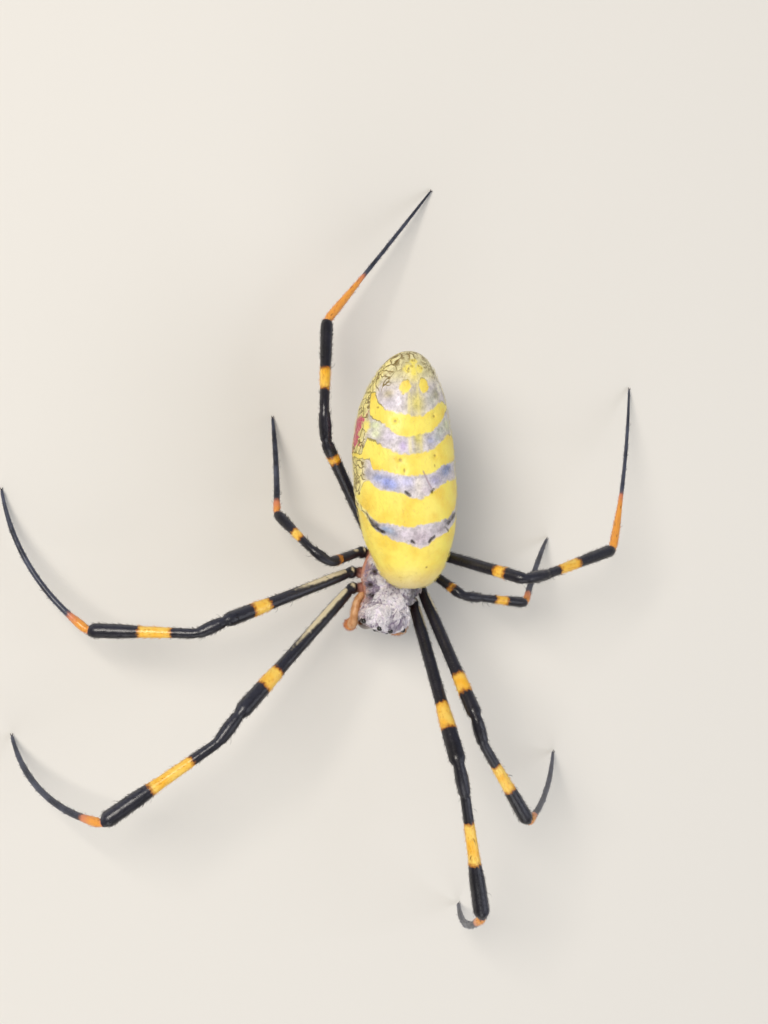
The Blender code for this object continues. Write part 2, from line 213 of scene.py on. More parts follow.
def makeFloor():
    deselect()
    bpy.ops.mesh.primitive_plane_add(size=floorSettings["size"], location=(0, 0, -0.00002))
    floor = bpy.context.object
    floor.name = "floor"
    material = emptyMaterial("matte_painted_board")
    place = addNode(material, "ShaderNodeTexCoord", {}, {})
    grain = addNode(material, "ShaderNodeTexNoise", {},
                    {"Vector": (place, "Object"), "Scale": 1 / (floorSettings["grainMm"] * millimetre)})
    bump = addNode(material, "ShaderNodeBump", {},
                   {"Height": (grain, "Fac"), "Distance": 0.0001, "Strength": 0.05})
    shader = addNode(material, "ShaderNodeBsdfPrincipled", {},
                     {"Base Color": linearColour(floorSettings["colour"]),
                      "Roughness": floorSettings["roughness"], "Normal": (bump, "Normal")})
    addNode(material, "ShaderNodeOutputMaterial", {}, {"Surface": (shader, "BSDF")})
    floor.data.materials.append(material)


lamps = {    # place and size in metres, power in watts
    "key": {"place": (-0.26, 0.16, 0.42), "size": 0.22, "power": 2.1, "colour": "#FFF8EE"},
    "fill": {"place": (0.34, -0.10, 0.36), "size": 0.40, "power": 0.72, "colour": "#F3F6FF"},
    "front": {"place": (-0.05, -0.42, 0.26), "size": 0.34, "power": 0.62, "colour": "#FFFFFF"},
}


def makeLamps():
    for name, lamp in lamps.items():
        light = bpy.data.lights.new(name, "AREA")
        light.size = lamp["size"]
        light.energy = lamp["power"]
        light.color = linearColour(lamp["colour"])[:3]
        obj = bpy.data.objects.new(name, light)
        obj.location = lamp["place"]
        obj.rotation_euler = Vector(lamp["place"]).to_track_quat("Z", "Y").to_euler()
        bpy.context.scene.collection.objects.link(obj)
    world = bpy.data.worlds.new("soft_room")
    world.use_nodes = True
    world.node_tree.nodes["Background"].inputs["Color"].default_value = linearColour("#EEF1F4")
    world.node_tree.nodes["Background"].inputs["Strength"].default_value = 0.26
    bpy.context.scene.world = world


makeFloor()
makeLamps()
print("floor and lamps ready")


# Abdomen markings: for each edge, pairs of the turn from the back's middle and the share from the front

bandEdges = {
    "frontTop": ((-100, .36), (-80, .335), (-70, .30), (-60, .265), (-50, .25), (-40, .235), (-30, .22), (-20, .215),
                 (-10, .20), (0, .19), (10, .205), (20, .23), (30, .24), (40, .248), (50, .27), (60, .285), (80, .31)),
    "firstLow": ((-100, .42), (-80, .36), (-70, .34), (-60, .305), (-50, .295), (-40, .297), (-30, .29), (-20, .28),
                 (-10, .28), (0, .29), (20, .295), (40, .305), (50, .33), (60, .34), (80, .36)),
    "firstTop": ((-100, .40), (-78, .41), (-70, .46), (-60, .475), (-52, .447), (-40, .43), (-20, .425),
                 (-12, .405), (0, .395), (10, .41), (15, .425), (30, .45), (40, .46), (60, .462), (80, .45)),
    "secondLow": ((-70, .56), (-57, .56), (-53, .515), (-40, .515), (-30, .505), (-20, .495), (-10, .493), (10, .495),
                  (17, .50), (25, .515), (30, .525), (40, .533), (60, .535), (80, .55)),
    "secondTop": ((-70, .58), (-62, .645), (-55, .64), (-40, .615), (-30, .60), (-20, .585), (-10, .58), (0, .583),
                  (10, .59), (20, .60), (30, .62), (40, .64), (50, .65), (60, .65), (80, .62)),
    "thirdLow": ((-75, .83), (-68, .79), (-62, .735), (-50, .72), (-40, .705), (-30, .68), (-22, .66), (-10, .653),
                 (10, .663), (20, .67), (30, .69), (40, .71), (50, .735), (60, .75), (80, .76)),
    "thirdTop": ((-75, .83), (-65, .835), (-58, .81), (-50, .785), (-40, .765), (-30, .757), (-20, .75), (-10, .745),
                 (0, .735), (10, .74), (20, .755), (30, .77), (40, .785), (50, .79), (60, .775), (80, .765)),
}
bands = (("frontLow", "frontTop"), ("firstLow", "firstTop"), ("secondLow", "secondTop"), ("thirdLow", "thirdTop"))
yellowOvals = ((-16, .858, 9.0, .029), (16, .860, 8.5, .032))
yellowRearPatches = ((-15, .932, 10, .020), (-1, .930, 7, .034), (13, .930, 10, .020), (2, .958, 14, .012), (-66, .695, 6.5, .024))
darkStrokes = (    # from turn, share to turn, share, then half width in mm
    (-16, .427, -12, .413, .13), (14.5, .424, 17, .432, .12), (-13, .221, -9.5, .212, .12), (10, .215, 17, .235, .12),
    (-70, .325, -64, .287, .10), (-64, .287, -58, .275, .15), (-58, .275, -47, .258, .13), (34, .272, 42, .252, .08),
    (40, .283, 50, .303, .13), (50, .303, 72, .325, .16),
)
brownDots = ((-26, .718, 2.6, .007), (27, .732, 2.6, .007), (-20, .558, 2.4, .010), (-16, .515, 1.6, .012),
             (22, .570, 2.2, .007), (-52, .773, 2.6, .006), (20, .53, 1.3, .008), (10, .105, 2.5, .006),
             (-12, .93, 3.0, .006), (13, .94, 3.0, .006), (-2, .962, 4.0, .004))
groundPatches = (    # turn, share, their radii, then colour: soft patches between the yellow bands
    (-36, .468, 9, .024, "#8E98D8"), (-30, .455, 7, .02, "#9AA4DE"), (-48, .485, 8, .018, "#A9B2DE"),
    (36, .500, 9, .020, "#8D96B8"), (42, .515, 8, .014, "#8590B4"), (20, .47, 8, .022, "#B3AECB"),
    (-14, .468, 9, .026, "#C9C6E4"), (-1, .45, 5, .05, "#E2D9D2"), (8, .43, 7, .015, "#D3C6CE"),
    (-45, .272, 8, .012, "#8FA0C0"), (-57, .285, 6, .013, "#63606A"), (-38, .262, 6, .012, "#A4B0C8"),
    (-32, .25, 5, .010, "#7E8496"), (-64, .30, 5, .012, "#6B6258"), (-50, .258, 5, .006, "#4A4650"),
    (0, .235, 18, .035, "#CDBFC9"), (-22, .25, 9, .02, "#CFC5D0"), (38, .29, 9, .016, "#8E8890"),
    (26, .262, 6, .014, "#B3A7AE"), (52, .31, 10, .014, "#6F6A70"),
    (-52, .70, 9, .018, "#D5DBB4"), (-50, .665, 7, .018, "#E6EAC6"), (-32, .655, 8, .026, "#C9C0D0"),
    (-16, .615, 5, .024, "#B9A8CC"), (-8, .62, 3.5, .03, "#F0E8E8"), (18, .634, 6, .018, "#A9AAC4"),
    (28, .645, 6, .02, "#C3C6C8"), (34, .67, 8, .022, "#C0C2B8"), (52, .69, 12, .028, "#D2D4B0"),
    (-32, .79, 13, .026, "#D2CAD6"), (-40, .83, 9, .018, "#C2B79E"), (-24, .81, 7, .02, "#E0D8E2"),
    (26, .80, 9, .03, "#CFCDC0"), (38, .82, 8, .025, "#BDB89E"), (-60, .50, 8, .022, "#B3AEB8"),
    (52, .845, 7, .02, "#F8F2DA"), (0, .90, 12, .03, "#E8D98C"), (-26, .92, 10, .02, "#D5CB9C"),
)
medianTint = "#DDD06A"
groundColour = "#D3CBCF"
rearColour = "#E2D9A8"
flankColour = "#EFE294"
bellyColour = "#4A3A26"
paleStrokes = (    # the two pale lines beside the heart, and the thread that leaves a dark comma
    (-8, .59, -9, .83, .10), (4, .50, 5, .66, .09), (5, .68, 4, .86, .10), (-5, .50, -3, .58, .07),
)
violetStrokes = ((5, .51, 10, .465, .05), (10, .465, 14, .44, .05))


def measureBands(share, turn):    # how far inside the nearest yellow band, in mm
    best = np.full(share.shape, -9.0)
    scale = abdomenLength
    for low, high in bands:
        bottom = np.full(share.shape, -1.0)
        if low != "frontLow":
            bottom = np.interp(turn, *zip(*bandEdges[low]))
        top = np.interp(turn, *zip(*bandEdges[high]))
        best = np.maximum(best, np.minimum(share - bottom, top - share) * scale)
    for turn0, share0, turnRadius, shareRadius in yellowOvals:
        reach = np.hypot((turn - turn0) / turnRadius, (share - share0) / shareRadius)
        best = np.maximum(best, (1 - reach) * shareRadius * scale)
    return best


def measureStrokes(share, turn, strokes):    # how far inside the nearest stroke, in mm
    best = np.full(share.shape, -9.0)
    across = math.radians(1) * abdomen["width"] / 2
    x = turn * across
    y = share * abdomenLength
    for turn0, share0, turn1, share1, half in strokes:
        start = np.array([turn0 * across, share0 * abdomenLength])
        step = np.array([turn1 * across, share1 * abdomenLength]) - start
        along = np.clip(((x - start[0]) * step[0] + (y - start[1]) * step[1]) / step.dot(step), 0, 1)
        gap = np.hypot(x - start[0] - along * step[0], y - start[1] - along * step[1])
        best = np.maximum(best, half - gap)
    return best


def paintAbdomen(share, turn):    # ground colour, under what is drawn over it
    colour = np.empty(share.shape + (3,))
    colour[...] = linearColour(groundColour)[:3]
    rear = smoothStep(.84, .92, share)
    colour += rear[..., None] * (np.array(linearColour(rearColour)[:3]) - colour)
    flank = smoothStep(56, 76, np.abs(turn))
    colour += flank[..., None] * (np.array(linearColour(flankColour)[:3]) - colour)
    median = blob(turn, share, 1, .66, 6.5, .05) + 0.9 * blob(turn, share, 2, .79, 13, .055)
    median += 0.6 * blob(turn, share, 0, .56, 5, .04)
    colour += np.clip(median, 0, 1)[..., None] * (np.array(linearColour(medianTint)[:3]) - colour)
    for turn0, share0, turnRadius, shareRadius, code in groundPatches:
        amount = np.clip(1.1 * blob(turn, share, turn0, share0, turnRadius, shareRadius), 0, 1)
        colour += amount[..., None] * (np.array(linearColour(code)[:3]) - colour)
    belly = smoothStep(112, 128, np.abs(turn)) * smoothStep(0.02, 0.1, share)
    colour += belly[..., None] * (np.array(linearColour(bellyColour)[:3]) - colour)
    return colour


def measureCrimson(share, turn):    # the red flank patch, and the red ring about the spinnerets
    across = (np.abs(turn) - 97) / 22
    along = (share - .668) / .074
    bearing = np.arctan2(along, across)
    lobes = 1 + 0.20 * np.sin(3 * bearing + 0.8) + 0.13 * np.sin(5 * bearing + 2.1) + 0.08 * np.sin(8 * bearing)
    patch = (1 - np.hypot(across, along) / lobes) * 1.1
    ring = 1 - np.abs(np.hypot((np.abs(turn) - 180) / 40, (share - .84) / .09) - 1) / 0.35
    return np.maximum(patch, ring * 0.8 - 0.1)


def makeAbdomen():
    deselect()
    bpy.ops.mesh.primitive_uv_sphere_add(segments=abdomen["segments"], ring_count=abdomen["rings"], radius=1)
    skin = bpy.context.object
    skin.name = "abdomen_skin"
    ball = getVertices(skin) * millimetre
    share = 0.5 * (1 - np.clip(ball[:, 2], -1, 1))
    turn = 90 - np.degrees(np.arctan2(ball[:, 1], ball[:, 0]))
    turn = (turn + 180) % 360 - 180
    dents = np.zeros(len(ball))
    for turn0, share0, turnRadius, shareRadius in brownDots[:5]:
        dents -= 0.10 * blob(turn, share, turn0, share0, turnRadius * 1.6, shareRadius * 1.6)
    for turn0, share0, turn1, share1, half in darkStrokes[:4]:
        dents -= 0.12 * blob(turn, share, (turn0 + turn1) / 2, (share0 + share1) / 2, 3.5, .012)
    dents += 0.05 * np.sin(share * 34 + 0.6 * np.sin(np.radians(turn) * 3)) * smoothStep(45, 75, np.abs(turn))
    points = abdomenPoints(share, turn)
    outward = unit(points - abdomenPoints(share, turn, -1.0))
    outward[(share < 0.001) | (share > 0.999)] = 0
    setVertices(skin, points + outward * dents[:, None] + shift)
    setAttribute(skin, "ground", paintAbdomen(share, turn))
    setAttribute(skin, "yellow", measureBands(share, turn))
    setAttribute(skin, "dark", measureStrokes(share, turn, darkStrokes))
    spots = np.zeros(len(ball))
    for turn0, share0, turnRadius, shareRadius in brownDots:
        spots = np.maximum(spots, blob(turn, share, turn0, share0, turnRadius, shareRadius))
    setAttribute(skin, "spots", spots)
    soft = np.zeros(len(ball))
    for turn0, share0, turnRadius, shareRadius in yellowRearPatches:
        soft = np.maximum(soft, blob(turn, share, turn0, share0, turnRadius, shareRadius))
    setAttribute(skin, "softYellow", soft)
    setAttribute(skin, "crimson", measureCrimson(share, turn))
    net = smoothStep(62, 70, np.abs(turn)) * (1 - smoothStep(118, 126, np.abs(turn)))
    net = np.maximum(net, smoothStep(34, 48, -turn) * smoothStep(.825, .855, share))
    net = np.maximum(net, 0.8 * smoothStep(40, 52, turn) * smoothStep(.85, .88, share))
    net = np.maximum(net, 0.8 * smoothStep(.90, .94, share) * smoothStep(22, 34, np.abs(turn)))
    net = np.maximum(net, 0.9 * smoothStep(.955, .98, share))
    net *= smoothStep(.10, .22, share)
    setAttribute(skin, "net", net)
    setAttribute(skin, "frontFade", 1 - smoothStep(.0, .13, share))
    setAttribute(skin, "pale", measureStrokes(share, turn, paleStrokes))
    setAttribute(skin, "violet", measureStrokes(share, turn, violetStrokes))
    fringe = smoothStep(36, 50, -turn) + 0.6 * smoothStep(44, 56, turn)
    fringe *= smoothStep(.50, .58, share) * (1 - smoothStep(118, 126, np.abs(turn)))
    fringe += 0.9 * blob(turn, share, -17, .892, 12, .012) + 0.9 * blob(turn, share, 17, .894, 12, .012)
    setAttribute(skin, "fringe", np.clip(fringe, 0, 1))
    setAttribute(skin, "rear", smoothStep(.86, .91, share))
    activate(skin)
    bpy.ops.object.shade_smooth()
    return finish(skin, abdomenMaterial(), ("abdomen",))


# Thin living cuticle over coloured granules: a soft satin gloss, and clear yellow with grainy, olive-rimmed edges
def abdomenMaterial():
    look = {"yellow": "#FCEA6C", "yellowDeep": "#F3D150", "yellowPale": "#EFE08A", "brown": "#8A6424",
            "dark": "#231816", "net": "#65502A", "netSoft": "#94803E", "crimson": "#B8324E",
            "crimsonLight": "#D9738A", "frontTone": "#E8D49A", "olive": "#8C7E36", "violet": "#A08490",
            "grainMm": 0.12, "netMm": 0.98, "mottleMm": 1.6, "rimMm": 0.08}
    m = emptyMaterial("satin_spider_cuticle")
    place = addNode(m, "ShaderNodeTexCoord", {}, {})
    names = ("ground", "yellow", "dark", "spots", "softYellow", "crimson", "net", "frontFade", "pale", "violet",
             "fringe", "rear")
    read = {name: addNode(m, "ShaderNodeAttribute", {"attribute_name": name}, {}) for name in names}
    grain = addNode(m, "ShaderNodeTexNoise", {}, {"Vector": (place, "Object"), "Detail": 4.0,
                                                  "Scale": 1 / (look["grainMm"] * 3 * millimetre)})
    mottle = addNode(m, "ShaderNodeTexNoise", {}, {"Vector": (place, "Object"), "Detail": 3.0,
                                                   "Scale": 1 / (look["mottleMm"] * millimetre)})
    ragged = addNode(m, "ShaderNodeMath", {"operation": "MULTIPLY_ADD"}, {0: (grain, "Fac"), 1: 0.5, 2: -0.25})
    # Ground between the bands: fine granules and darker and paler clouds
    granules = addNode(m, "ShaderNodeTexVoronoi", {}, {"Vector": (place, "Object"),
                                                      "Scale": 1 / (look["grainMm"] * 1.6 * millimetre)})
    speck = addNode(m, "ShaderNodeMapRange", {}, {"Value": (granules, "Distance"), "From Min": 0.1, "From Max": 0.7,
                                                  "To Min": 0.90, "To Max": 1.08})
    clouds = addNode(m, "ShaderNodeTexNoise", {}, {"Vector": (place, "Object"), "Detail": 4.0, "Roughness": 0.6,
                                                   "Scale": 1 / (0.55 * millimetre)})
    cloudTone = addNode(m, "ShaderNodeMapRange", {}, {"Value": (clouds, "Fac"), "From Min": 0.36, "From Max": 0.64,
                                                      "To Min": 0.74, "To Max": 1.18})
    toned = addNode(m, "ShaderNodeMath", {"operation": "MULTIPLY"}, {0: (speck, "Result"), 1: (cloudTone, "Result")})
    ground = addNode(m, "ShaderNodeMixRGB", {"blend_type": "MULTIPLY"},
                     {"Fac": 1.0, "Color1": (read["ground"], "Color"), "Color2": (toned, "Value")})
    # The maze of thin brown lines on the flanks and the rear
    warp = addNode(m, "ShaderNodeTexNoise", {}, {"Vector": (place, "Object"), "Detail": 1.0,
                                                 "Scale": 1 / (0.9 * millimetre)})
    bend = addNode(m, "ShaderNodeVectorMath", {"operation": "MULTIPLY_ADD"},
                   {0: (warp, "Color"), 1: (0.0018, 0.0018, 0.0018), 2: (place, "Object")})
    cells = addNode(m, "ShaderNodeTexVoronoi", {"feature": "DISTANCE_TO_EDGE"},
                    {"Vector": (bend, "Vector"), "Scale": 1 / (look["netMm"] * millimetre)})
    lines = addNode(m, "ShaderNodeMapRange", {"interpolation_type": "SMOOTHSTEP"},
                    {"Value": (cells, "Distance"), "From Min": 0.025, "From Max": 0.10, "To Min": 1.0, "To Max": 0.0})
    netAmount = addNode(m, "ShaderNodeMath", {"operation": "MULTIPLY"}, {0: (lines, "Result"), 1: (read["net"], "Fac")})
    netTone = addNode(m, "ShaderNodeMixRGB", {}, {"Fac": (mottle, "Fac"), "Color1": linearColour(look["net"]),
                                                  "Color2": linearColour(look["netSoft"])})
    withNet = addNode(m, "ShaderNodeMixRGB", {}, {"Fac": (netAmount, "Value"), "Color1": (ground, "Color"),
                                                  "Color2": (netTone, "Color")})
    # Pale threads beside the heart, one violet thread, and soft yellow patches at the rear
    paleMask = addNode(m, "ShaderNodeMapRange", {"interpolation_type": "SMOOTHSTEP"},
                       {"Value": (read["pale"], "Fac"), "From Min": -0.16, "From Max": 0.10, "To Max": 0.5})
    withPale = addNode(m, "ShaderNodeMixRGB", {}, {"Fac": (paleMask, "Result"), "Color1": (withNet, "Color"),
                                                   "Color2": linearColour(look["yellowPale"])})
    softReach = addNode(m, "ShaderNodeMath", {"operation": "MULTIPLY_ADD"},
                        {0: (ragged, "Value"), 1: 1.8, 2: (read["softYellow"], "Fac")})
    softMask = addNode(m, "ShaderNodeMapRange", {"interpolation_type": "SMOOTHSTEP"},
                       {"Value": (softReach, "Value"), "From Min": 0.15, "From Max": 0.75, "To Max": 0.85})
    withSoft = addNode(m, "ShaderNodeMixRGB", {}, {"Fac": (softMask, "Result"), "Color1": (withPale, "Color"),
                                                   "Color2": linearColour(look["yellow"])})
    # Yellow bands, deeper in places, paler at the front of the abdomen
    bandReach = addNode(m, "ShaderNodeMath", {"operation": "ADD"}, {0: (read["yellow"], "Fac"), 1: (ragged, "Value")})
    bandMask = addNode(m, "ShaderNodeMapRange", {"interpolation_type": "SMOOTHSTEP"},
                       {"Value": (bandReach, "Value"), "From Min": -0.10, "From Max": 0.12})
    deepness = addNode(m, "ShaderNodeMapRange", {}, {"Value": (mottle, "Fac"), "From Min": 0.40, "From Max": 0.70})
    yellow = addNode(m, "ShaderNodeMixRGB", {}, {"Fac": (deepness, "Result"), "Color1": linearColour(look["yellow"]),
                                                 "Color2": linearColour(look["yellowDeep"])})
    yellowFront = addNode(m, "ShaderNodeMixRGB", {}, {"Fac": (read["frontFade"], "Fac"), "Color1": (yellow, "Color"),
                                                      "Color2": linearColour(look["frontTone"])})
    banded = addNode(m, "ShaderNodeMixRGB", {}, {"Fac": (bandMask, "Result"), "Color1": (withSoft, "Color"),
                                                 "Color2": (yellowFront, "Color")})
    rimGap = addNode(m, "ShaderNodeMath", {"operation": "ABSOLUTE"}, {0: (bandReach, "Value")})
    rimMask = addNode(m, "ShaderNodeMapRange", {"interpolation_type": "SMOOTHSTEP"},
                      {"Value": (rimGap, "Value"), "From Min": 0.02, "From Max": 0.02 + look["rimMm"],
                       "To Min": 0.85, "To Max": 0.0})
    rimAmount = addNode(m, "ShaderNodeMath", {"operation": "MULTIPLY"},
                        {0: (rimMask, "Result"), 1: (read["fringe"], "Fac")})
    rimmed = addNode(m, "ShaderNodeMixRGB", {}, {"Fac": (rimAmount, "Value"), "Color1": (banded, "Color"),
                                                 "Color2": linearColour(look["olive"])})
    # Crimson patch, violet thread, brown spots and dark marks
    redCloud = addNode(m, "ShaderNodeMath", {"operation": "MULTIPLY_ADD"}, {0: (clouds, "Fac"), 1: 2.6, 2: -1.3})
    redEdge = addNode(m, "ShaderNodeMath", {"operation": "ADD"}, {0: (redCloud, "Value"), 1: (ragged, "Value")})
    redReach = addNode(m, "ShaderNodeMath", {"operation": "ADD"}, {0: (read["crimson"], "Fac"), 1: (redEdge, "Value")})
    redMask = addNode(m, "ShaderNodeMapRange", {"interpolation_type": "SMOOTHSTEP"},
                      {"Value": (redReach, "Value"), "From Min": -0.05, "From Max": 0.25})
    red = addNode(m, "ShaderNodeMixRGB", {}, {"Fac": (clouds, "Fac"), "Color1": linearColour(look["crimson"]),
                                              "Color2": linearColour(look["crimsonLight"])})
    withRed = addNode(m, "ShaderNodeMixRGB", {}, {"Fac": (redMask, "Result"), "Color1": (rimmed, "Color"),
                                                  "Color2": (red, "Color")})
    violetMask = addNode(m, "ShaderNodeMapRange", {"interpolation_type": "SMOOTHSTEP"},
                         {"Value": (read["violet"], "Fac"), "From Min": -0.07, "From Max": 0.03, "To Max": 0.7})
    withViolet = addNode(m, "ShaderNodeMixRGB", {}, {"Fac": (violetMask, "Result"), "Color1": (withRed, "Color"),
                                                     "Color2": linearColour(look["violet"])})
    spotMask = addNode(m, "ShaderNodeMapRange", {"interpolation_type": "SMOOTHSTEP"},
                       {"Value": (read["spots"], "Fac"), "From Min": 0.2, "From Max": 0.9, "To Max": 0.65})
    rearSpeck = addNode(m, "ShaderNodeMapRange", {"interpolation_type": "SMOOTHSTEP"},
                        {"Value": (grain, "Fac"), "From Min": 0.54, "From Max": 0.62, "To Max": 0.45})
    rearAmount = addNode(m, "ShaderNodeMath", {"operation": "MULTIPLY"},
                         {0: (rearSpeck, "Result"), 1: (read["rear"], "Fac")})
    spotAmount = addNode(m, "ShaderNodeMath", {"operation": "MAXIMUM"}, {0: (spotMask, "Result"),
                                                                       1: (rearAmount, "Value")})
    withSpots = addNode(m, "ShaderNodeMixRGB", {}, {"Fac": (spotAmount, "Value"), "Color1": (withViolet, "Color"),
                                                    "Color2": linearColour(look["brown"])})
    darkReach = addNode(m, "ShaderNodeMath", {"operation": "MULTIPLY_ADD"},
                        {0: (ragged, "Value"), 1: 0.5, 2: (read["dark"], "Fac")})
    darkMask = addNode(m, "ShaderNodeMapRange", {"interpolation_type": "SMOOTHSTEP"},
                       {"Value": (darkReach, "Value"), "From Min": -0.10, "From Max": 0.10, "To Max": 0.9})
    colour = addNode(m, "ShaderNodeMixRGB", {}, {"Fac": (darkMask, "Result"), "Color1": (withSpots, "Color"),
                                                 "Color2": linearColour(look["dark"])})
    wrinkles = addNode(m, "ShaderNodeTexNoise", {}, {"Vector": (place, "Object"), "Detail": 5.0,
                                                     "Scale": 1 / (0.35 * millimetre)})
    bump = addNode(m, "ShaderNodeBump", {}, {"Height": (wrinkles, "Fac"), "Distance": 0.00006, "Strength": 0.5})
    bumpNet = addNode(m, "ShaderNodeBump", {}, {"Height": (netAmount, "Value"), "Distance": 0.00005, "Strength": 0.5,
                                                "Normal": (bump, "Normal")})
    shader = addNode(m, "ShaderNodeBsdfPrincipled", {},
                     {"Base Color": (colour, "Color"), "Roughness": 0.42, "IOR": 1.45, "Coat Weight": 0.12,
                      "Coat Roughness": 0.3, "Normal": (bumpNet, "Normal")})
    addNode(m, "ShaderNodeOutputMaterial", {}, {"Surface": (shader, "BSDF")})
    return m


makeAbdomen()
print("abdomen ready")


# Head and thorax

body = {
    "front": np.array([-0.45, -9.91, 0.0]), "yaw": 15.0, "headHalf": 2.05, "thoraxHalf": 2.7,
    "length": 8.1, "margin": 7.75, "sternumFloor": 5.7, "segments": 192, "rings": 180,
}
forward = direction(-90 - body["yaw"], 0)
leftward = direction(-body["yaw"], 0)
headHalf = body["headHalf"]
thoraxHalf = body["thoraxHalf"]
margin = body["margin"]
floorLevel = body["sternumFloor"]

# Rows of: station, half width at the margin, top, margin height, underside height, lower half width
bodySections = np.array((
    (0.00, 0.32 * headHalf, 9.25, 8.35, 8.05, 0.25 * headHalf),
    (0.12, 0.66 * headHalf, 9.70, 8.00, 7.65, 0.50 * headHalf),
    (0.45, 0.92 * headHalf, 10.05, 7.85, 7.45, 0.70 * headHalf),
    (1.00, 1.02 * headHalf, 10.25, 7.80, 7.40, 0.80 * headHalf),
    (1.55, 1.00 * headHalf, 10.35, 7.78, 7.30, 0.78 * headHalf),
    (2.05, 0.95 * headHalf, 10.30, margin, 6.50, 0.70),
    (2.50, 0.95 * headHalf, 10.15, margin, 6.05, 0.85),
    (3.10, 0.82 * thoraxHalf, 9.95, margin, floorLevel, 1.0),
    (3.80, 0.96 * thoraxHalf, 9.75, margin, floorLevel, 1.0),
    (4.50, 1.00 * thoraxHalf, 9.55, margin, floorLevel, 1.0),
    (5.30, 0.98 * thoraxHalf, 9.35, margin, floorLevel, 0.95),
    (6.00, 0.90 * thoraxHalf, 9.10, margin, floorLevel + 0.1, 0.85),
    (6.70, 0.76 * thoraxHalf, 8.80, margin, floorLevel + 0.3, 0.70),
    (7.30, 0.58 * thoraxHalf, 8.50, margin, 6.30, 0.50),
    (7.80, 0.36 * thoraxHalf, 8.25, 7.70, 7.00, 0.35),
    (body["length"], 0.14 * thoraxHalf, 8.00, 7.70, 7.40, 0.20),
))


def bodyPoint(station, side, height):
    station = np.asarray(station, float)[..., None]
    side = np.asarray(side, float)[..., None]
    height = np.asarray(height, float)[..., None]
    return body["front"] - forward * station + leftward * side + up * height


def readSections(place):    # smooth between the rows
    index = np.clip(np.floor(place).astype(int), 0, len(bodySections) - 2)
    mix = (place - index)[:, None]
    rows = [bodySections[np.clip(index + step, 0, len(bodySections) - 1)] for step in (-1, 0, 1, 2)]
    a, b, c, d = rows
    return 0.5 * (2 * b + (c - a) * mix + (2 * a - 5 * b + 4 * c - d) * mix ** 2
                  + (3 * b - a - 3 * c + d) * mix ** 3)


carapacePits = ((3.53, 2.09), (4.68, 1.96), (2.70, 1.71))    # station and side of the dark pits


def carapaceRelief(station, side):    # furrows, pits and low bumps on the back, in mm
    relief = np.zeros(station.shape)
    neck = np.abs(np.abs(side) - (0.35 + 0.62 * (4.9 - station)))    # the V that sets off the head
    relief -= 0.17 * np.exp(-(neck / 0.22) ** 2) * smoothStep(2.4, 3.2, station) * (1 - smoothStep(4.6, 5.2, station))
    relief -= 0.30 * blob(side, station, 0, 5.05, 0.55, 0.22)
    for angle in (38, 62, 88, 118):    # furrows that run out from the middle pit
        reach = np.hypot(side, station - 5.05)
        bearing = np.degrees(np.arctan2(np.abs(side), 5.05 - station))
        relief -= 0.07 * np.exp(-((bearing - angle) / 7) ** 2) * smoothStep(0.6, 1.2, reach)
    for sideSign in (-1, 1):
        for pitStation, pitSide in carapacePits:
            relief -= 0.20 * blob(side, station, sideSign * pitSide, pitStation, 0.19, 0.15)
        relief += 0.12 * blob(side, station, sideSign * 0.55, 3.3, 0.5, 0.6)
    return relief


def noiseAt(points, size, offset=0.0):    # smooth noise from 0 to 1, read point by point, sizes in mm
    return np.array([0.5 + 0.5 * noise.noise(Vector(p / size) + Vector((offset, offset, offset))) for p in points])


def woolLumps(points):    # the crumpled look of matted wool: rounded lumps with narrow folds between them
    broad = 1 - np.abs(2 * noiseAt(points, 1.15, 3.0) - 1) * 2.4
    fine = 1 - np.abs(2 * noiseAt(points, 0.62, 9.0) - 1) * 2.4
    return 1 - np.clip(0.62 * broad + 0.38 * fine, 0, 1)


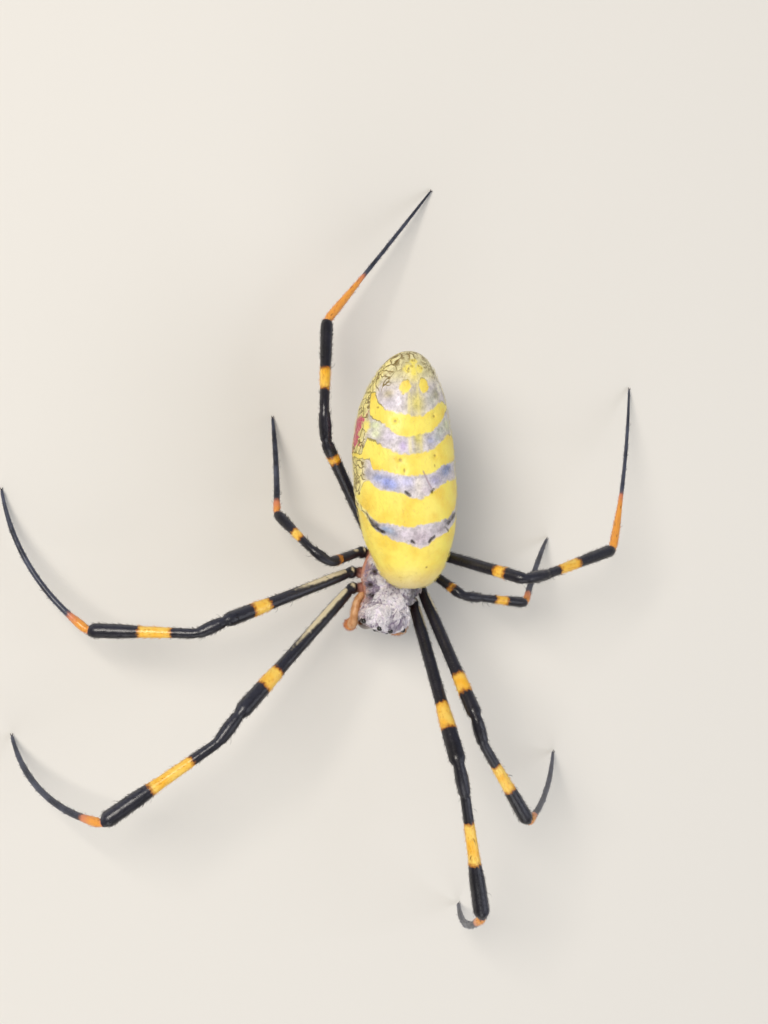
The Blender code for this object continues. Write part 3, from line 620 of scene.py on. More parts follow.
def makeCarapace():
    deselect()
    bpy.ops.mesh.primitive_uv_sphere_add(segments=body["segments"], ring_count=body["rings"], radius=1)
    shell = bpy.context.object
    shell.name = "head_and_thorax_shell"
    ball = getVertices(shell) * millimetre
    level = np.degrees(np.arccos(np.clip(ball[:, 2], -1, 1))) / 180    # 0 at the front, 1 at the back
    angle = np.arctan2(ball[:, 1], ball[:, 0])
    cap = 0.07
    place = np.clip((level - cap) / (1 - 2 * cap), 0, 1) * (len(bodySections) - 1)
    rows = readSections(place)
    station, half, top, edge, under, low = rows.T
    half = np.maximum(half, 0.02)
    dome = angle >= 0
    cosine = np.cos(angle)
    side = half * np.sign(cosine) * np.abs(cosine) ** 0.85
    height = edge + (top - edge) * np.abs(np.sin(angle)) ** 0.8
    # Underneath: in from the margin, down the flank where the legs leave, and across the breastplate
    below = np.clip(-angle / math.pi, 0, 1)
    mirror = np.where(below < 0.5, 1, -1)
    below = np.where(below < 0.5, below, 1 - below) * 2
    ceiling = edge - 0.3
    shoulder = np.maximum(under + 0.2, ceiling - 0.5)
    knots = np.array([0, .12, .3, .5, .66, .8, 1.0])
    sides = np.stack([half, 0.9 * half, 0.5 * (half + low), low, low, 0.78 * low, 0 * low])
    heights = np.stack([edge, ceiling, np.minimum(ceiling, 0.5 * (ceiling + under) + 0.5), shoulder,
                        0.5 * (under + shoulder), under + 0.08, under - 0.02])
    lowerSide = np.empty(len(ball))
    lowerHeight = np.empty(len(ball))
    for i in range(len(knots) - 1):
        inside = (below >= knots[i]) & (below <= knots[i + 1])
        mix = (below - knots[i]) / (knots[i + 1] - knots[i])
        lowerSide[inside] = (sides[i] + (sides[i + 1] - sides[i]) * mix)[inside]
        lowerHeight[inside] = (heights[i] + (heights[i + 1] - heights[i]) * mix)[inside]
    side = np.where(dome, side, lowerSide * mirror)
    height = np.where(dome, height, lowerHeight)
    # Round end caps close the form at the front of the face and above the stalk
    frontClose = np.clip(level / cap, 0, 1)
    rearClose = np.clip((1 - level) / cap, 0, 1)
    close = np.minimum(np.sin(frontClose * math.pi / 2), np.sin(rearClose * math.pi / 2))
    middle = 0.5 * (top + under)
    side *= close
    height = middle + (height - middle) * close
    station = station - 0.10 * np.cos(frontClose * math.pi / 2) + 0.05 * np.cos(rearClose * math.pi / 2)
    back = dome * smoothStep(0.05, 0.5, np.sin(np.maximum(angle, 0)) * close)
    height += carapaceRelief(station, side) * back
    spots = bodyPoint(station, side, height)
    lumps = woolLumps(spots)
    outward = unit(spots - bodyPoint(station, side * 0.2, 7.4 + 0 * side))
    spots = spots + outward * ((lumps - 0.75) * 0.30 * back * smoothStep(0.15, 0.7, station + 0.3))[:, None]
    setVertices(shell, spots + shift)
    setAttribute(shell, "lumps", lumps)
    setAttribute(shell, "station", station)
    setAttribute(shell, "side", side)
    lowHair = dome * smoothStep(0.02, 0.20, np.sin(np.maximum(angle, 0)) * close) * (1 - smoothStep(1.8, 2.6, station))
    hairy = np.maximum(back, lowHair) * smoothStep(0.02, 0.4, station + 0.3)
    setAttribute(shell, "hairy", hairy)
    dark = 0.8 * (1 - hairy) * (1 - smoothStep(0.5, 1.6, station))
    for pitStation, pitSide in carapacePits:
        dark = np.maximum(dark, 1.2 * blob(np.abs(side), station, pitSide, pitStation, 0.24, 0.20) * dome)
    setAttribute(shell, "dark", np.clip(dark, 0, 1))
    setAttribute(shell, "below", np.where(dome, 0, smoothStep(0.2, 0.5, below)))
    activate(shell)
    bpy.ops.object.modifier_add(type="SMOOTH")
    shell.modifiers["Smooth"].factor = 0.5
    shell.modifiers["Smooth"].iterations = 2
    bpy.ops.object.modifier_apply(modifier="Smooth")
    bpy.ops.object.shade_smooth()
    return finish(shell, carapaceMaterial(), ("cephalothorax",))


# Hard shell under matted hair: lilac-grey with painted shade in the folds between the lumps, orange-pink along its
# margin
def carapaceMaterial():
    look = {"fold": "#85778C", "grey": "#B8ADBD", "pale": "#EAE2EE", "margin": "#C98B72", "breast": "#2A1A12",
            "breastPale": "#8A5A2C", "pit": "#2B1D1C", "grainMm": 0.16}
    m = emptyMaterial("hairy_spider_shell")
    place = addNode(m, "ShaderNodeTexCoord", {}, {})
    read = {name: addNode(m, "ShaderNodeAttribute", {"attribute_name": name}, {})
            for name in ("hairy", "below", "lumps", "dark")}
    clouds = addNode(m, "ShaderNodeTexNoise", {}, {"Vector": (place, "Object"), "Detail": 4.0,
                                                   "Scale": 1 / (0.5 * millimetre)})
    tone = addNode(m, "ShaderNodeMapRange", {}, {"Value": (clouds, "Fac"), "From Min": 0.38, "From Max": 0.62})
    light = addNode(m, "ShaderNodeMixRGB", {}, {"Fac": (tone, "Result"), "Color1": linearColour(look["grey"]),
                                                "Color2": linearColour(look["pale"])})
    # painted shade: the shell is darker in the folds between the wool lumps and paler on the raised lumps
    raised = addNode(m, "ShaderNodeMapRange", {"interpolation_type": "SMOOTHSTEP"},
                     {"Value": (read["lumps"], "Fac"), "From Min": 0.35, "From Max": 0.75})
    back = addNode(m, "ShaderNodeMixRGB", {}, {"Fac": (raised, "Result"), "Color1": linearColour(look["fold"]),
                                               "Color2": (light, "Color")})
    rim = addNode(m, "ShaderNodeMapRange", {"interpolation_type": "SMOOTHSTEP"},
                  {"Value": (read["hairy"], "Fac"), "From Min": 0.05, "From Max": 0.6})
    upper = addNode(m, "ShaderNodeMixRGB", {}, {"Fac": (rim, "Result"), "Color1": linearColour(look["margin"]),
                                                "Color2": (back, "Color")})
    breast = addNode(m, "ShaderNodeMixRGB", {}, {"Fac": (tone, "Result"), "Color1": linearColour(look["breast"]),
                                                 "Color2": linearColour(look["breastPale"])})
    pitted = addNode(m, "ShaderNodeMixRGB", {}, {"Fac": (read["dark"], "Fac"), "Color1": (upper, "Color"),
                                                 "Color2": linearColour(look["pit"])})
    colour = addNode(m, "ShaderNodeMixRGB", {}, {"Fac": (read["below"], "Fac"), "Color1": (pitted, "Color"),
                                                 "Color2": (breast, "Color")})
    grain = addNode(m, "ShaderNodeTexVoronoi", {}, {"Vector": (place, "Object"),
                                                   "Scale": 1 / (look["grainMm"] * millimetre)})
    bump = addNode(m, "ShaderNodeBump", {}, {"Height": (grain, "Distance"), "Distance": 0.00005, "Strength": 0.6})
    shader = addNode(m, "ShaderNodeBsdfPrincipled", {},
                     {"Base Color": (colour, "Color"), "Roughness": 0.5, "IOR": 1.5, "Normal": (bump, "Normal")})
    addNode(m, "ShaderNodeOutputMaterial", {}, {"Surface": (shader, "BSDF")})
    return m


carapace = makeCarapace()
print("head and thorax ready")


# A tapered tube swept along points: a curve with a bevel, made a mesh and closed
def sweep(name, points, radii, sides=14):
    deselect()
    bpy.ops.curve.primitive_bezier_curve_add(radius=1, location=(0, 0, 0))
    guide = bpy.context.object
    guide.name = name
    curve = guide.data
    curve.dimensions = "3D"
    curve.splines.clear()
    spline = curve.splines.new("POLY")
    spline.points.add(len(points) - 1)
    places = np.concatenate([np.asarray(points) * millimetre, np.ones((len(points), 1))], 1)
    spline.points.foreach_set("co", places.astype(np.float32).ravel())
    spline.points.foreach_set("radius", np.asarray(radii, np.float32))
    curve.bevel_depth = millimetre
    curve.bevel_resolution = sides // 2 - 2
    curve.use_fill_caps = True
    bpy.ops.object.convert(target="MESH")
    tube = bpy.context.object
    weld(tube)
    return tube


def roundedPath(corners, spacing, softness):    # corners softened, evenly spaced points, and arc lengths of corners
    corners = [np.asarray(c, float) for c in corners]
    dense = [corners[0]]
    for before, corner, after in zip(corners, corners[1:], corners[2:]):
        soft = min(softness, 0.45 * np.linalg.norm(corner - before), 0.45 * np.linalg.norm(after - corner))
        start = corner + unit(before - corner) * soft
        end = corner + unit(after - corner) * soft
        for i in range(9):
            mix = i / 8
            dense.append(start * (1 - mix) ** 2 + corner * 2 * mix * (1 - mix) + end * mix ** 2)
    dense.append(corners[-1])
    dense = np.array(dense)
    lengths = np.concatenate([[0], np.cumsum(np.linalg.norm(np.diff(dense, axis=0), axis=1))])
    count = max(3, int(lengths[-1] / spacing))
    along = np.linspace(0, lengths[-1], count + 1)
    points = np.stack([np.interp(along, lengths, dense[:, k]) for k in range(3)], 1)
    cornerArcs = [lengths[int(np.argmin(np.linalg.norm(dense - corner, axis=1)))] for corner in corners]
    return points, along, cornerArcs


def profile(stops, along):    # radii read smoothly from stops of arc length and radius
    places = np.array([s[0] for s in stops])
    radii = np.array([s[1] for s in stops])
    index = np.clip(np.searchsorted(places, along, side="right") - 1, 0, len(stops) - 2)
    mix = np.clip((along - places[index]) / (places[index + 1] - places[index]), 0, 1)
    mix = mix * mix * (3 - 2 * mix)
    return radii[index] + (radii[index + 1] - radii[index]) * mix


# Legs

legPairs = {    # lengths and radii in mm, and the share of the foot that is orange
    1: {"station": 2.85, "reach": 2.8, "root": 3.2, "femur": 15.4, "patella": 2.8, "tibia": 11.3, "foot": 14.3,
        "thick": 0.50, "swell": 1.38, "footThick": .27, "orange": .145},
    2: {"station": 4.1, "reach": 3.2, "root": 4.45, "femur": 12.8, "patella": 2.4, "tibia": 9.1, "foot": 14.6,
        "thick": 0.48, "swell": 1.28, "footThick": .23, "orange": .14},
    3: {"station": 5.95, "reach": 2.8, "root": 5.7, "femur": 4.4, "patella": 1.9, "tibia": 5.0, "foot": 9.4,
        "thick": 0.38, "swell": 1.18, "footThick": .23, "orange": .13},
    4: {"station": 7.35, "reach": 2.4, "root": 6.9, "femur": 9.9, "patella": 2.7, "tibia": 8.3, "foot": 16.9,
        "thick": 0.46, "swell": 1.12, "footThick": .165, "orange": .34},
}
legPose = {    # heading and pitch of each segment, the foot's first and last, then the yellow shares and the cream streak
    "left_1": {"femur": (-85, 36), "patella": (-75, -11), "tibia": (-79, -8), "foot": ((-83, -61), (26, -73)),
               "femurBand": (.63, .79), "tibiaBand": (.215, .56), "streak": .18},
    "right_1": {"femur": (-140, 20), "patella": (-130, 5), "tibia": (-147, -3), "foot": ((176, -48), (97, -49)),
                "femurBand": (.66, .80), "tibiaBand": (.22, .59), "streak": .60},
    "left_2": {"femur": (-77, 38), "patella": (-74, -3), "tibia": (-57, -13), "foot": ((4, -56), (46, -60)),
               "femurBand": (.67, .82), "tibiaBand": (.25, .585), "streak": .22},
    "right_2": {"femur": (-165, 17), "patella": (-156, -9), "tibia": (179, -22), "foot": ((141, -25), (95, -26)),
                "femurBand": (.655, .795), "tibiaBand": (.23, .545), "streak": .52},
    "left_3": {"femur": (-39, 31), "patella": (-10, -15), "tibia": (-10, -19), "foot": ((51, -46), (41, -46)),
               "femurBand": (.66, .78), "tibiaBand": (.28, .57), "streak": .3},
    "right_3": {"femur": (-172, 37), "patella": (143, -11), "tibia": (127, -48), "foot": ((79, -35), (87, -35)),
                "femurBand": (.70, .80), "tibiaBand": (.26, .49), "streak": .3},
    "left_4": {"femur": (-16, 44), "patella": (4, -26), "tibia": (11, -25), "foot": ((64, -31), (74, -32)),
               "femurBand": (.71, .82), "tibiaBand": (.16, .46), "streak": .2},
    "right_4": {"femur": (119, 17), "patella": (96, 9), "tibia": (80, -27), "foot": ((44, -22), (46, -22)),
                "femurBand": (.79, .875), "tibiaBand": (.215, .46), "streak": .2},
}
ringSpacing = 0.22


def footPath(start, first, last, length, lean, steps=24):
    path = [start]
    aimFirst = direction(first[0], first[1] + lean)
    aimLast = direction(last[0], last[1] + lean)
    for i in range(steps):
        mix = (i + 0.5) / steps
        path.append(path[-1] + unit(aimFirst * (1 - mix) + aimLast * mix) * (length / steps))
    return path


def landing(start, first, last, length):    # the lean that sets the tip of the foot on the floor
    low = -25.0
    high = 25.0
    for _ in range(40):
        middle = 0.5 * (low + high)
        if footPath(start, first, last, length, middle)[-1][2] > 0.12:
            high = middle
        else:
            low = middle
    return middle


def legCorners(name):
    sideName, number = name.split("_")
    sign = 1 if sideName == "left" else -1
    pair = legPairs[int(number)]
    pose = legPose[name]
    root = bodyPoint(pair["root"], sign * 0.6, 6.65) + shift
    hip = bodyPoint(pair["station"], sign * pair["reach"], 6.7) + shift
    knee = hip + direction(*pose["femur"]) * pair["femur"]
    shin = knee + direction(*pose["patella"]) * pair["patella"]
    ankle = shin + direction(*pose["tibia"]) * pair["tibia"]
    lean = landing(ankle, *pose["foot"], pair["foot"])
    foot = footPath(ankle, *pose["foot"], pair["foot"], lean)
    return pair, pose, [root, hip, knee, shin, ankle] + foot[1:]


def makeLeg(name, material):
    pair, pose, corners = legCorners(name)
    points, along, arcs = roundedPath(corners, ringSpacing, 0.5)
    hip, knee, shin, ankle = arcs[1:5]
    tip = along[-1]
    thick = pair["thick"]
    swollen = pair["swell"] * thick
    femur = knee - hip
    tibia = ankle - shin
    foot = tip - ankle
    tarsus = ankle + 0.78 * foot
    slim = pair["footThick"]
    stops = [(0, .38), (hip - 1.5, .47), (hip - .62, .47), (hip - .45, .35), (hip - .28, .46), (hip + .05, .52),
             (hip + .33, .45), (hip + .43, .37), (hip + .62, .92 * thick), (hip + .12 * femur + .4, 1.0 * thick),
             (hip + .58 * femur, 1.04 * thick), (hip + .80 * femur, .97 * swollen), (knee - .55, swollen),
             (knee - .15, 1.05 * thick), (knee, .82 * thick), (knee + .22, 1.02 * thick),
             (knee + .5 * (shin - knee), 1.14 * thick), (shin - .22, 1.02 * thick), (shin, .77 * thick),
             (shin + .22, .86 * thick), (shin + .15 * tibia, .87 * thick), (shin + .45 * tibia, .98 * thick),
             (shin + .74 * tibia, .97 * swollen), (ankle - .55, swollen), (ankle - .12, .95 * thick),
             (ankle, .62 * thick), (ankle + .10, .58 * thick), (ankle + .30, .76 * thick),
             (ankle + .02 * foot + .4, .78 * thick), (ankle + pair["orange"] * foot + .3, 1.12 * slim),
             (ankle + .55 * foot, slim), (tarsus - .1, .93 * slim), (tarsus, .74 * slim), (tarsus + .15, .86 * slim),
             (tip - .6, .62 * slim), (tip - .1, .48 * slim), (tip, .04)]
    radii = profile(stops, along)
    tube = sweep(f"leg_{name}_skin", points, radii)
    verts = getVertices(tube)
    tree = KDTree(len(points))
    for i, point in enumerate(points):
        tree.insert(point, i)
    tree.balance()
    nearest = np.array([tree.find(v)[1] for v in verts])
    tangents = unit(np.gradient(points, axis=0))
    axis = tangents[nearest]
    place = along[nearest] + np.einsum("ij,ij->i", verts - points[nearest], axis)
    outward = unit(verts - points[nearest] - axis * np.einsum("ij,ij->i", verts - points[nearest], axis)[:, None])
    rearSide = unit(np.cross(axis, up)) * (1 if name.startswith("right") else -1)
    topSide = unit(up - axis * axis[:, 2:3])
    around = np.degrees(np.arctan2(np.einsum("ij,ij->i", outward, rearSide),
                                   np.einsum("ij,ij->i", outward, topSide)))
    bandOne = np.minimum(place - hip - pose["femurBand"][0] * femur, hip + pose["femurBand"][1] * femur - place)
    bandTwo = np.minimum(place - shin - pose["tibiaBand"][0] * tibia, shin + pose["tibiaBand"][1] * tibia - place)
    setAttribute(tube, "yellow", np.maximum(bandOne, bandTwo))
    orangeEnd = ankle + pair["orange"] * foot
    setAttribute(tube, "orange", np.where(place > ankle + .02, orangeEnd - place, (place - ankle - .02) * 4))
    setAttribute(tube, "foot", smoothStep(-.1, .1, place - ankle))
    setAttribute(tube, "amber", 1 - smoothStep(hip - .50, hip - .36, place))
    # cream streak at the femur's base: part pale hair, part painted highlight on the upper rear side
    streak = np.exp(-((around - 60) / 35) ** 2) * smoothStep(hip + .45, hip + .75, place)
    streak *= 1 - smoothStep(hip + 0.35 * pose["streak"] * femur, hip + (pose["streak"] + .12) * femur, place)
    # painted highlight: a cream glint on top of the trochanter
    streak += 0.8 * blob(around, place, 45, hip + .02, 42, .2)
    # painted sheen: a blue-grey highlight along the upper rear side of each leg, from the hip outwards
    setAttribute(tube, "bloom", np.exp(-((around - 55) / 45) ** 2) * smoothStep(hip, hip + .5, place))
    setAttribute(tube, "streak", streak)
    setAttribute(tube, "along", place)
    setAttribute(tube, "around", around)
    nodes = [f"leg_{name}_{part}" for part in ("coxa", "femur", "tibia", "foot")]
    finish(tube, material, nodes)
    return {"tube": tube, "points": points, "tangents": tangents, "along": along, "radii": radii,
            "marks": (hip, knee, shin, ankle, tarsus, tip), "pair": pair}


# Glossy blue-black shell under short hair, with a painted blue-grey sheen along its upper rear side, clean golden rings
# and golden-orange ankles
def legMaterial():
    look = {"black": "#0F0C13", "blackSoft": "#1D1A24", "bloom": "#43475A", "yellow": "#F9BC34",
            "yellowPale": "#FBD567", "yellowEdge": "#B26A1C", "orange": "#F0A345", "orangeEnd": "#D98663",
            "blueGrey": "#4A4F61", "blueDark": "#20222D", "cream": "#E6DABA", "amber": "#4E1E18",
            "amberPale": "#B67D6C", "grainMm": 0.10}
    m = emptyMaterial("glossy_leg_shell")
    place = addNode(m, "ShaderNodeTexCoord", {}, {})
    read = {name: addNode(m, "ShaderNodeAttribute", {"attribute_name": name}, {})
            for name in ("yellow", "orange", "foot", "amber", "streak", "bloom")}
    grain = addNode(m, "ShaderNodeTexNoise", {}, {"Vector": (place, "Object"), "Detail": 4.0,
                                                  "Scale": 1 / (look["grainMm"] * 3 * millimetre)})
    clouds = addNode(m, "ShaderNodeTexNoise", {}, {"Vector": (place, "Object"), "Detail": 2.0,
                                                   "Scale": 1 / (1.4 * millimetre)})
    tone = addNode(m, "ShaderNodeMapRange", {}, {"Value": (clouds, "Fac"), "From Min": 0.35, "From Max": 0.65})
    ragged = addNode(m, "ShaderNodeMath", {"operation": "MULTIPLY_ADD"}, {0: (grain, "Fac"), 1: 0.7, 2: -0.35})
    black = addNode(m, "ShaderNodeMixRGB", {}, {"Fac": (tone, "Result"), "Color1": linearColour(look["black"]),
                                                "Color2": linearColour(look["blackSoft"])})
    blue = addNode(m, "ShaderNodeMixRGB", {}, {"Fac": (tone, "Result"), "Color1": linearColour(look["blueDark"]),
                                               "Color2": linearColour(look["blueGrey"])})
    base = addNode(m, "ShaderNodeMixRGB", {}, {"Fac": (read["foot"], "Fac"), "Color1": (black, "Color"),
                                               "Color2": (blue, "Color")})
    # Painted sheen: a blue-grey highlight laid over the black along the upper rear side
    paintedSheenAmount = addNode(m, "ShaderNodeMath", {"operation": "MULTIPLY"}, {0: (read["bloom"], "Fac"), 1: 0.45})
    dark = addNode(m, "ShaderNodeMixRGB", {}, {"Fac": (paintedSheenAmount, "Value"), "Color1": (base, "Color"),
                                               "Color2": linearColour(look["bloom"])})
    # Cream streak on the upper rear of the femur, part pale hair and part painted highlight, a painted highlight on the
    # trochanter, and the reddish coxae
    creamReach = addNode(m, "ShaderNodeMath", {"operation": "MULTIPLY_ADD"},
                         {0: (ragged, "Value"), 1: 0.7, 2: (read["streak"], "Fac")})
    creamMask = addNode(m, "ShaderNodeMapRange", {"interpolation_type": "SMOOTHSTEP"},
                        {"Value": (creamReach, "Value"), "From Min": 0.22, "From Max": 0.72, "To Max": 0.92})
    withCream = addNode(m, "ShaderNodeMixRGB", {}, {"Fac": (creamMask, "Result"), "Color1": (dark, "Color"),
                                                    "Color2": linearColour(look["cream"])})
    fleshTone = addNode(m, "ShaderNodeMapRange", {}, {"Value": (clouds, "Fac"), "From Min": 0.38, "From Max": 0.56})
    amber = addNode(m, "ShaderNodeMixRGB", {}, {"Fac": (fleshTone, "Result"), "Color1": linearColour(look["amber"]),
                                                "Color2": linearColour(look["amberPale"])})
    withAmber = addNode(m, "ShaderNodeMixRGB", {}, {"Fac": (read["amber"], "Fac"), "Color1": (withCream, "Color"),
                                                    "Color2": (amber, "Color")})
    # Golden rings, browner towards their ragged ends
    ringReach = addNode(m, "ShaderNodeMath", {"operation": "ADD"}, {0: (read["yellow"], "Fac"), 1: (ragged, "Value")})
    ringMask = addNode(m, "ShaderNodeMapRange", {"interpolation_type": "SMOOTHSTEP"},
                       {"Value": (ringReach, "Value"), "From Min": -0.12, "From Max": 0.14})
    ringMiddle = addNode(m, "ShaderNodeMapRange", {"interpolation_type": "SMOOTHSTEP"},
                         {"Value": (ringReach, "Value"), "From Min": 0.0, "From Max": 0.42})
    gold = addNode(m, "ShaderNodeMixRGB", {}, {"Fac": (tone, "Result"), "Color1": linearColour(look["yellow"]),
                                               "Color2": linearColour(look["yellowPale"])})
    ring = addNode(m, "ShaderNodeMixRGB", {}, {"Fac": (ringMiddle, "Result"),
                                               "Color1": linearColour(look["yellowEdge"]), "Color2": (gold, "Color")})
    withRing = addNode(m, "ShaderNodeMixRGB", {}, {"Fac": (ringMask, "Result"), "Color1": (withAmber, "Color"),
                                                   "Color2": (ring, "Color")})
    # Orange base of the foot, pinker where it ends
    orangeReach = addNode(m, "ShaderNodeMath", {"operation": "ADD"}, {0: (read["orange"], "Fac"), 1: (ragged, "Value")})
    orangeMask = addNode(m, "ShaderNodeMapRange", {"interpolation_type": "SMOOTHSTEP"},
                         {"Value": (orangeReach, "Value"), "From Min": -0.25, "From Max": 0.3})
    orangeMiddle = addNode(m, "ShaderNodeMapRange", {"interpolation_type": "SMOOTHSTEP"},
                           {"Value": (orangeReach, "Value"), "From Min": 0.1, "From Max": 1.4})
    orange = addNode(m, "ShaderNodeMixRGB", {}, {"Fac": (orangeMiddle, "Result"),
                                                 "Color1": linearColour(look["orangeEnd"]),
                                                 "Color2": linearColour(look["orange"])})
    colour = addNode(m, "ShaderNodeMixRGB", {}, {"Fac": (orangeMask, "Result"), "Color1": (withRing, "Color"),
                                                 "Color2": (orange, "Color")})
    bump = addNode(m, "ShaderNodeBump", {}, {"Height": (grain, "Fac"), "Distance": 0.00005, "Strength": 0.6})
    shader = addNode(m, "ShaderNodeBsdfPrincipled", {},
                     {"Base Color": (colour, "Color"), "Roughness": 0.34, "IOR": 1.5, "Coat Weight": 0.15,
                      "Coat Roughness": 0.2, "Normal": (bump, "Normal")})
    addNode(m, "ShaderNodeOutputMaterial", {}, {"Surface": (shader, "BSDF")})
    return m


legShell = legMaterial()
legs = {name: makeLeg(name, legShell) for name in legPose}
print("legs ready")


# Tufts: each one a closed three-sided sliver, bent along the lie of the coat
def growTufts(name, roots, normals, lies, lengths, widths, rise, patches, colours, material):
    count = len(roots)
    sides = unit(np.cross(normals, lies))
    lengths = lengths[:, None]
    widths = widths[:, None]
    rise = np.broadcast_to(np.asarray(rise, float), (count,))[:, None]
    middle = roots + (lies * 0.5 + normals * rise * 0.62) * lengths
    tips = roots + (lies * 1.0 + normals * rise * 0.85) * lengths
    rings = []
    for centre, scale in ((roots - normals * 0.03, 1.0), (middle, 0.75)):
        for turn in (90, 210, 330):
            spread = sides * math.cos(math.radians(turn)) + normals * math.sin(math.radians(turn))
            rings.append(centre + spread * widths * 0.5 * scale)
    verts = np.stack(rings + [tips], 1).reshape(-1, 3)
    verts[:, 2] = np.maximum(verts[:, 2], 0.002)    # none reaches below the floor
    pattern = ((0, 1, 4, 3), (1, 2, 5, 4), (2, 0, 3, 5), (3, 4, 6), (4, 5, 6), (5, 3, 6), (2, 1, 0))
    flat = np.array([v for face in pattern for v in face])
    totals = np.array([len(face) for face in pattern])
    starts = np.concatenate([[0], np.cumsum(totals)[:-1]])
    mesh = bpy.data.meshes.new(name)
    mesh.vertices.add(count * 7)
    mesh.vertices.foreach_set("co", (verts * millimetre).astype(np.float32).ravel())
    mesh.loops.add(count * len(flat))
    loops = (flat[None, :] + 7 * np.arange(count)[:, None]).ravel()
    mesh.loops.foreach_set("vertex_index", loops.astype(np.int32))
    mesh.polygons.add(count * len(pattern))
    mesh.polygons.foreach_set("loop_start", (starts[None, :] + len(flat) * np.arange(count)[:, None]).ravel().astype(np.int32))
    mesh.update(calc_edges=True)
    mesh.validate()
    patchSize = 0.003
    corner = np.array(((-.5, -.5), (0, -.5), (.5, -.5), (-.5, 0), (0, .1), (.5, 0), (0, .5))) * patchSize
    layer = mesh.uv_layers.new(name="OFBake")
    spots = (patches[:, None, :] + corner[None, :, :]).reshape(-1, 2)[loops]
    layer.data.foreach_set("uv", spots.astype(np.float32).ravel())
    coat = bpy.data.objects.new(name, mesh)
    bpy.context.scene.collection.objects.link(coat)
    setAttribute(coat, "tone", np.repeat(colours, 7, axis=0))
    mesh.shade_smooth()
    return finish(coat, material)


def scatter(obj, count, rng, weightName=None):    # points spread over a mesh, with their normals and triangles
    # A sphere's faces come in a new order each run, so each face starts at its lowest vertex, and they are sorted
    faces = []
    for polygon in obj.data.polygons:
        corners = list(polygon.vertices)
        first = corners.index(min(corners))
        faces.append(corners[first:] + corners[:first])
    triangles = np.array([(f[0], f[i], f[i + 1]) for f in sorted(faces) for i in range(1, len(f) - 1)])
    verts = getVertices(obj)
    a, b, c = (verts[triangles[:, k]] for k in range(3))
    cross = np.cross(b - a, c - a)
    area = np.linalg.norm(cross, axis=1)
    if weightName:
        weight = readAttribute(obj, weightName)
        area = area * weight[triangles].mean(1)
    chosen = rng.choice(len(triangles), count, p=area / area.sum())
    first = rng.random(count)
    second = rng.random(count)
    over = first + second > 1
    first[over] = 1 - first[over]
    second[over] = 1 - second[over]
    mix = np.stack([1 - first - second, first, second], 1)
    points = np.einsum("ij,ijk->ik", mix, verts[triangles[chosen]])
    normals = unit(cross[chosen])
    return points, normals, triangles[chosen], mix


def readAttribute(obj, name):
    values = np.empty(len(obj.data.vertices), np.float32)
    obj.data.attributes[name].data.foreach_get("value", values)
    return values.astype(float)


def coatMaterial(name, roughness, sheen):    # hair: colour from each tuft's root, with a silky gloss
    m = emptyMaterial(name)
    tone = addNode(m, "ShaderNodeAttribute", {"attribute_name": "tone"}, {})
    shader = addNode(m, "ShaderNodeBsdfPrincipled", {},
                     {"Base Color": (tone, "Color"), "Roughness": roughness, "IOR": 1.5,
                      "Sheen Weight": sheen, "Sheen Roughness": 0.4})
    addNode(m, "ShaderNodeOutputMaterial", {}, {"Surface": (shader, "BSDF")})
    return m


silverHair = coatMaterial("silver_spider_hair", 0.45, 0.3)
blackHair = coatMaterial("black_spider_bristle", 0.4, 0.0)


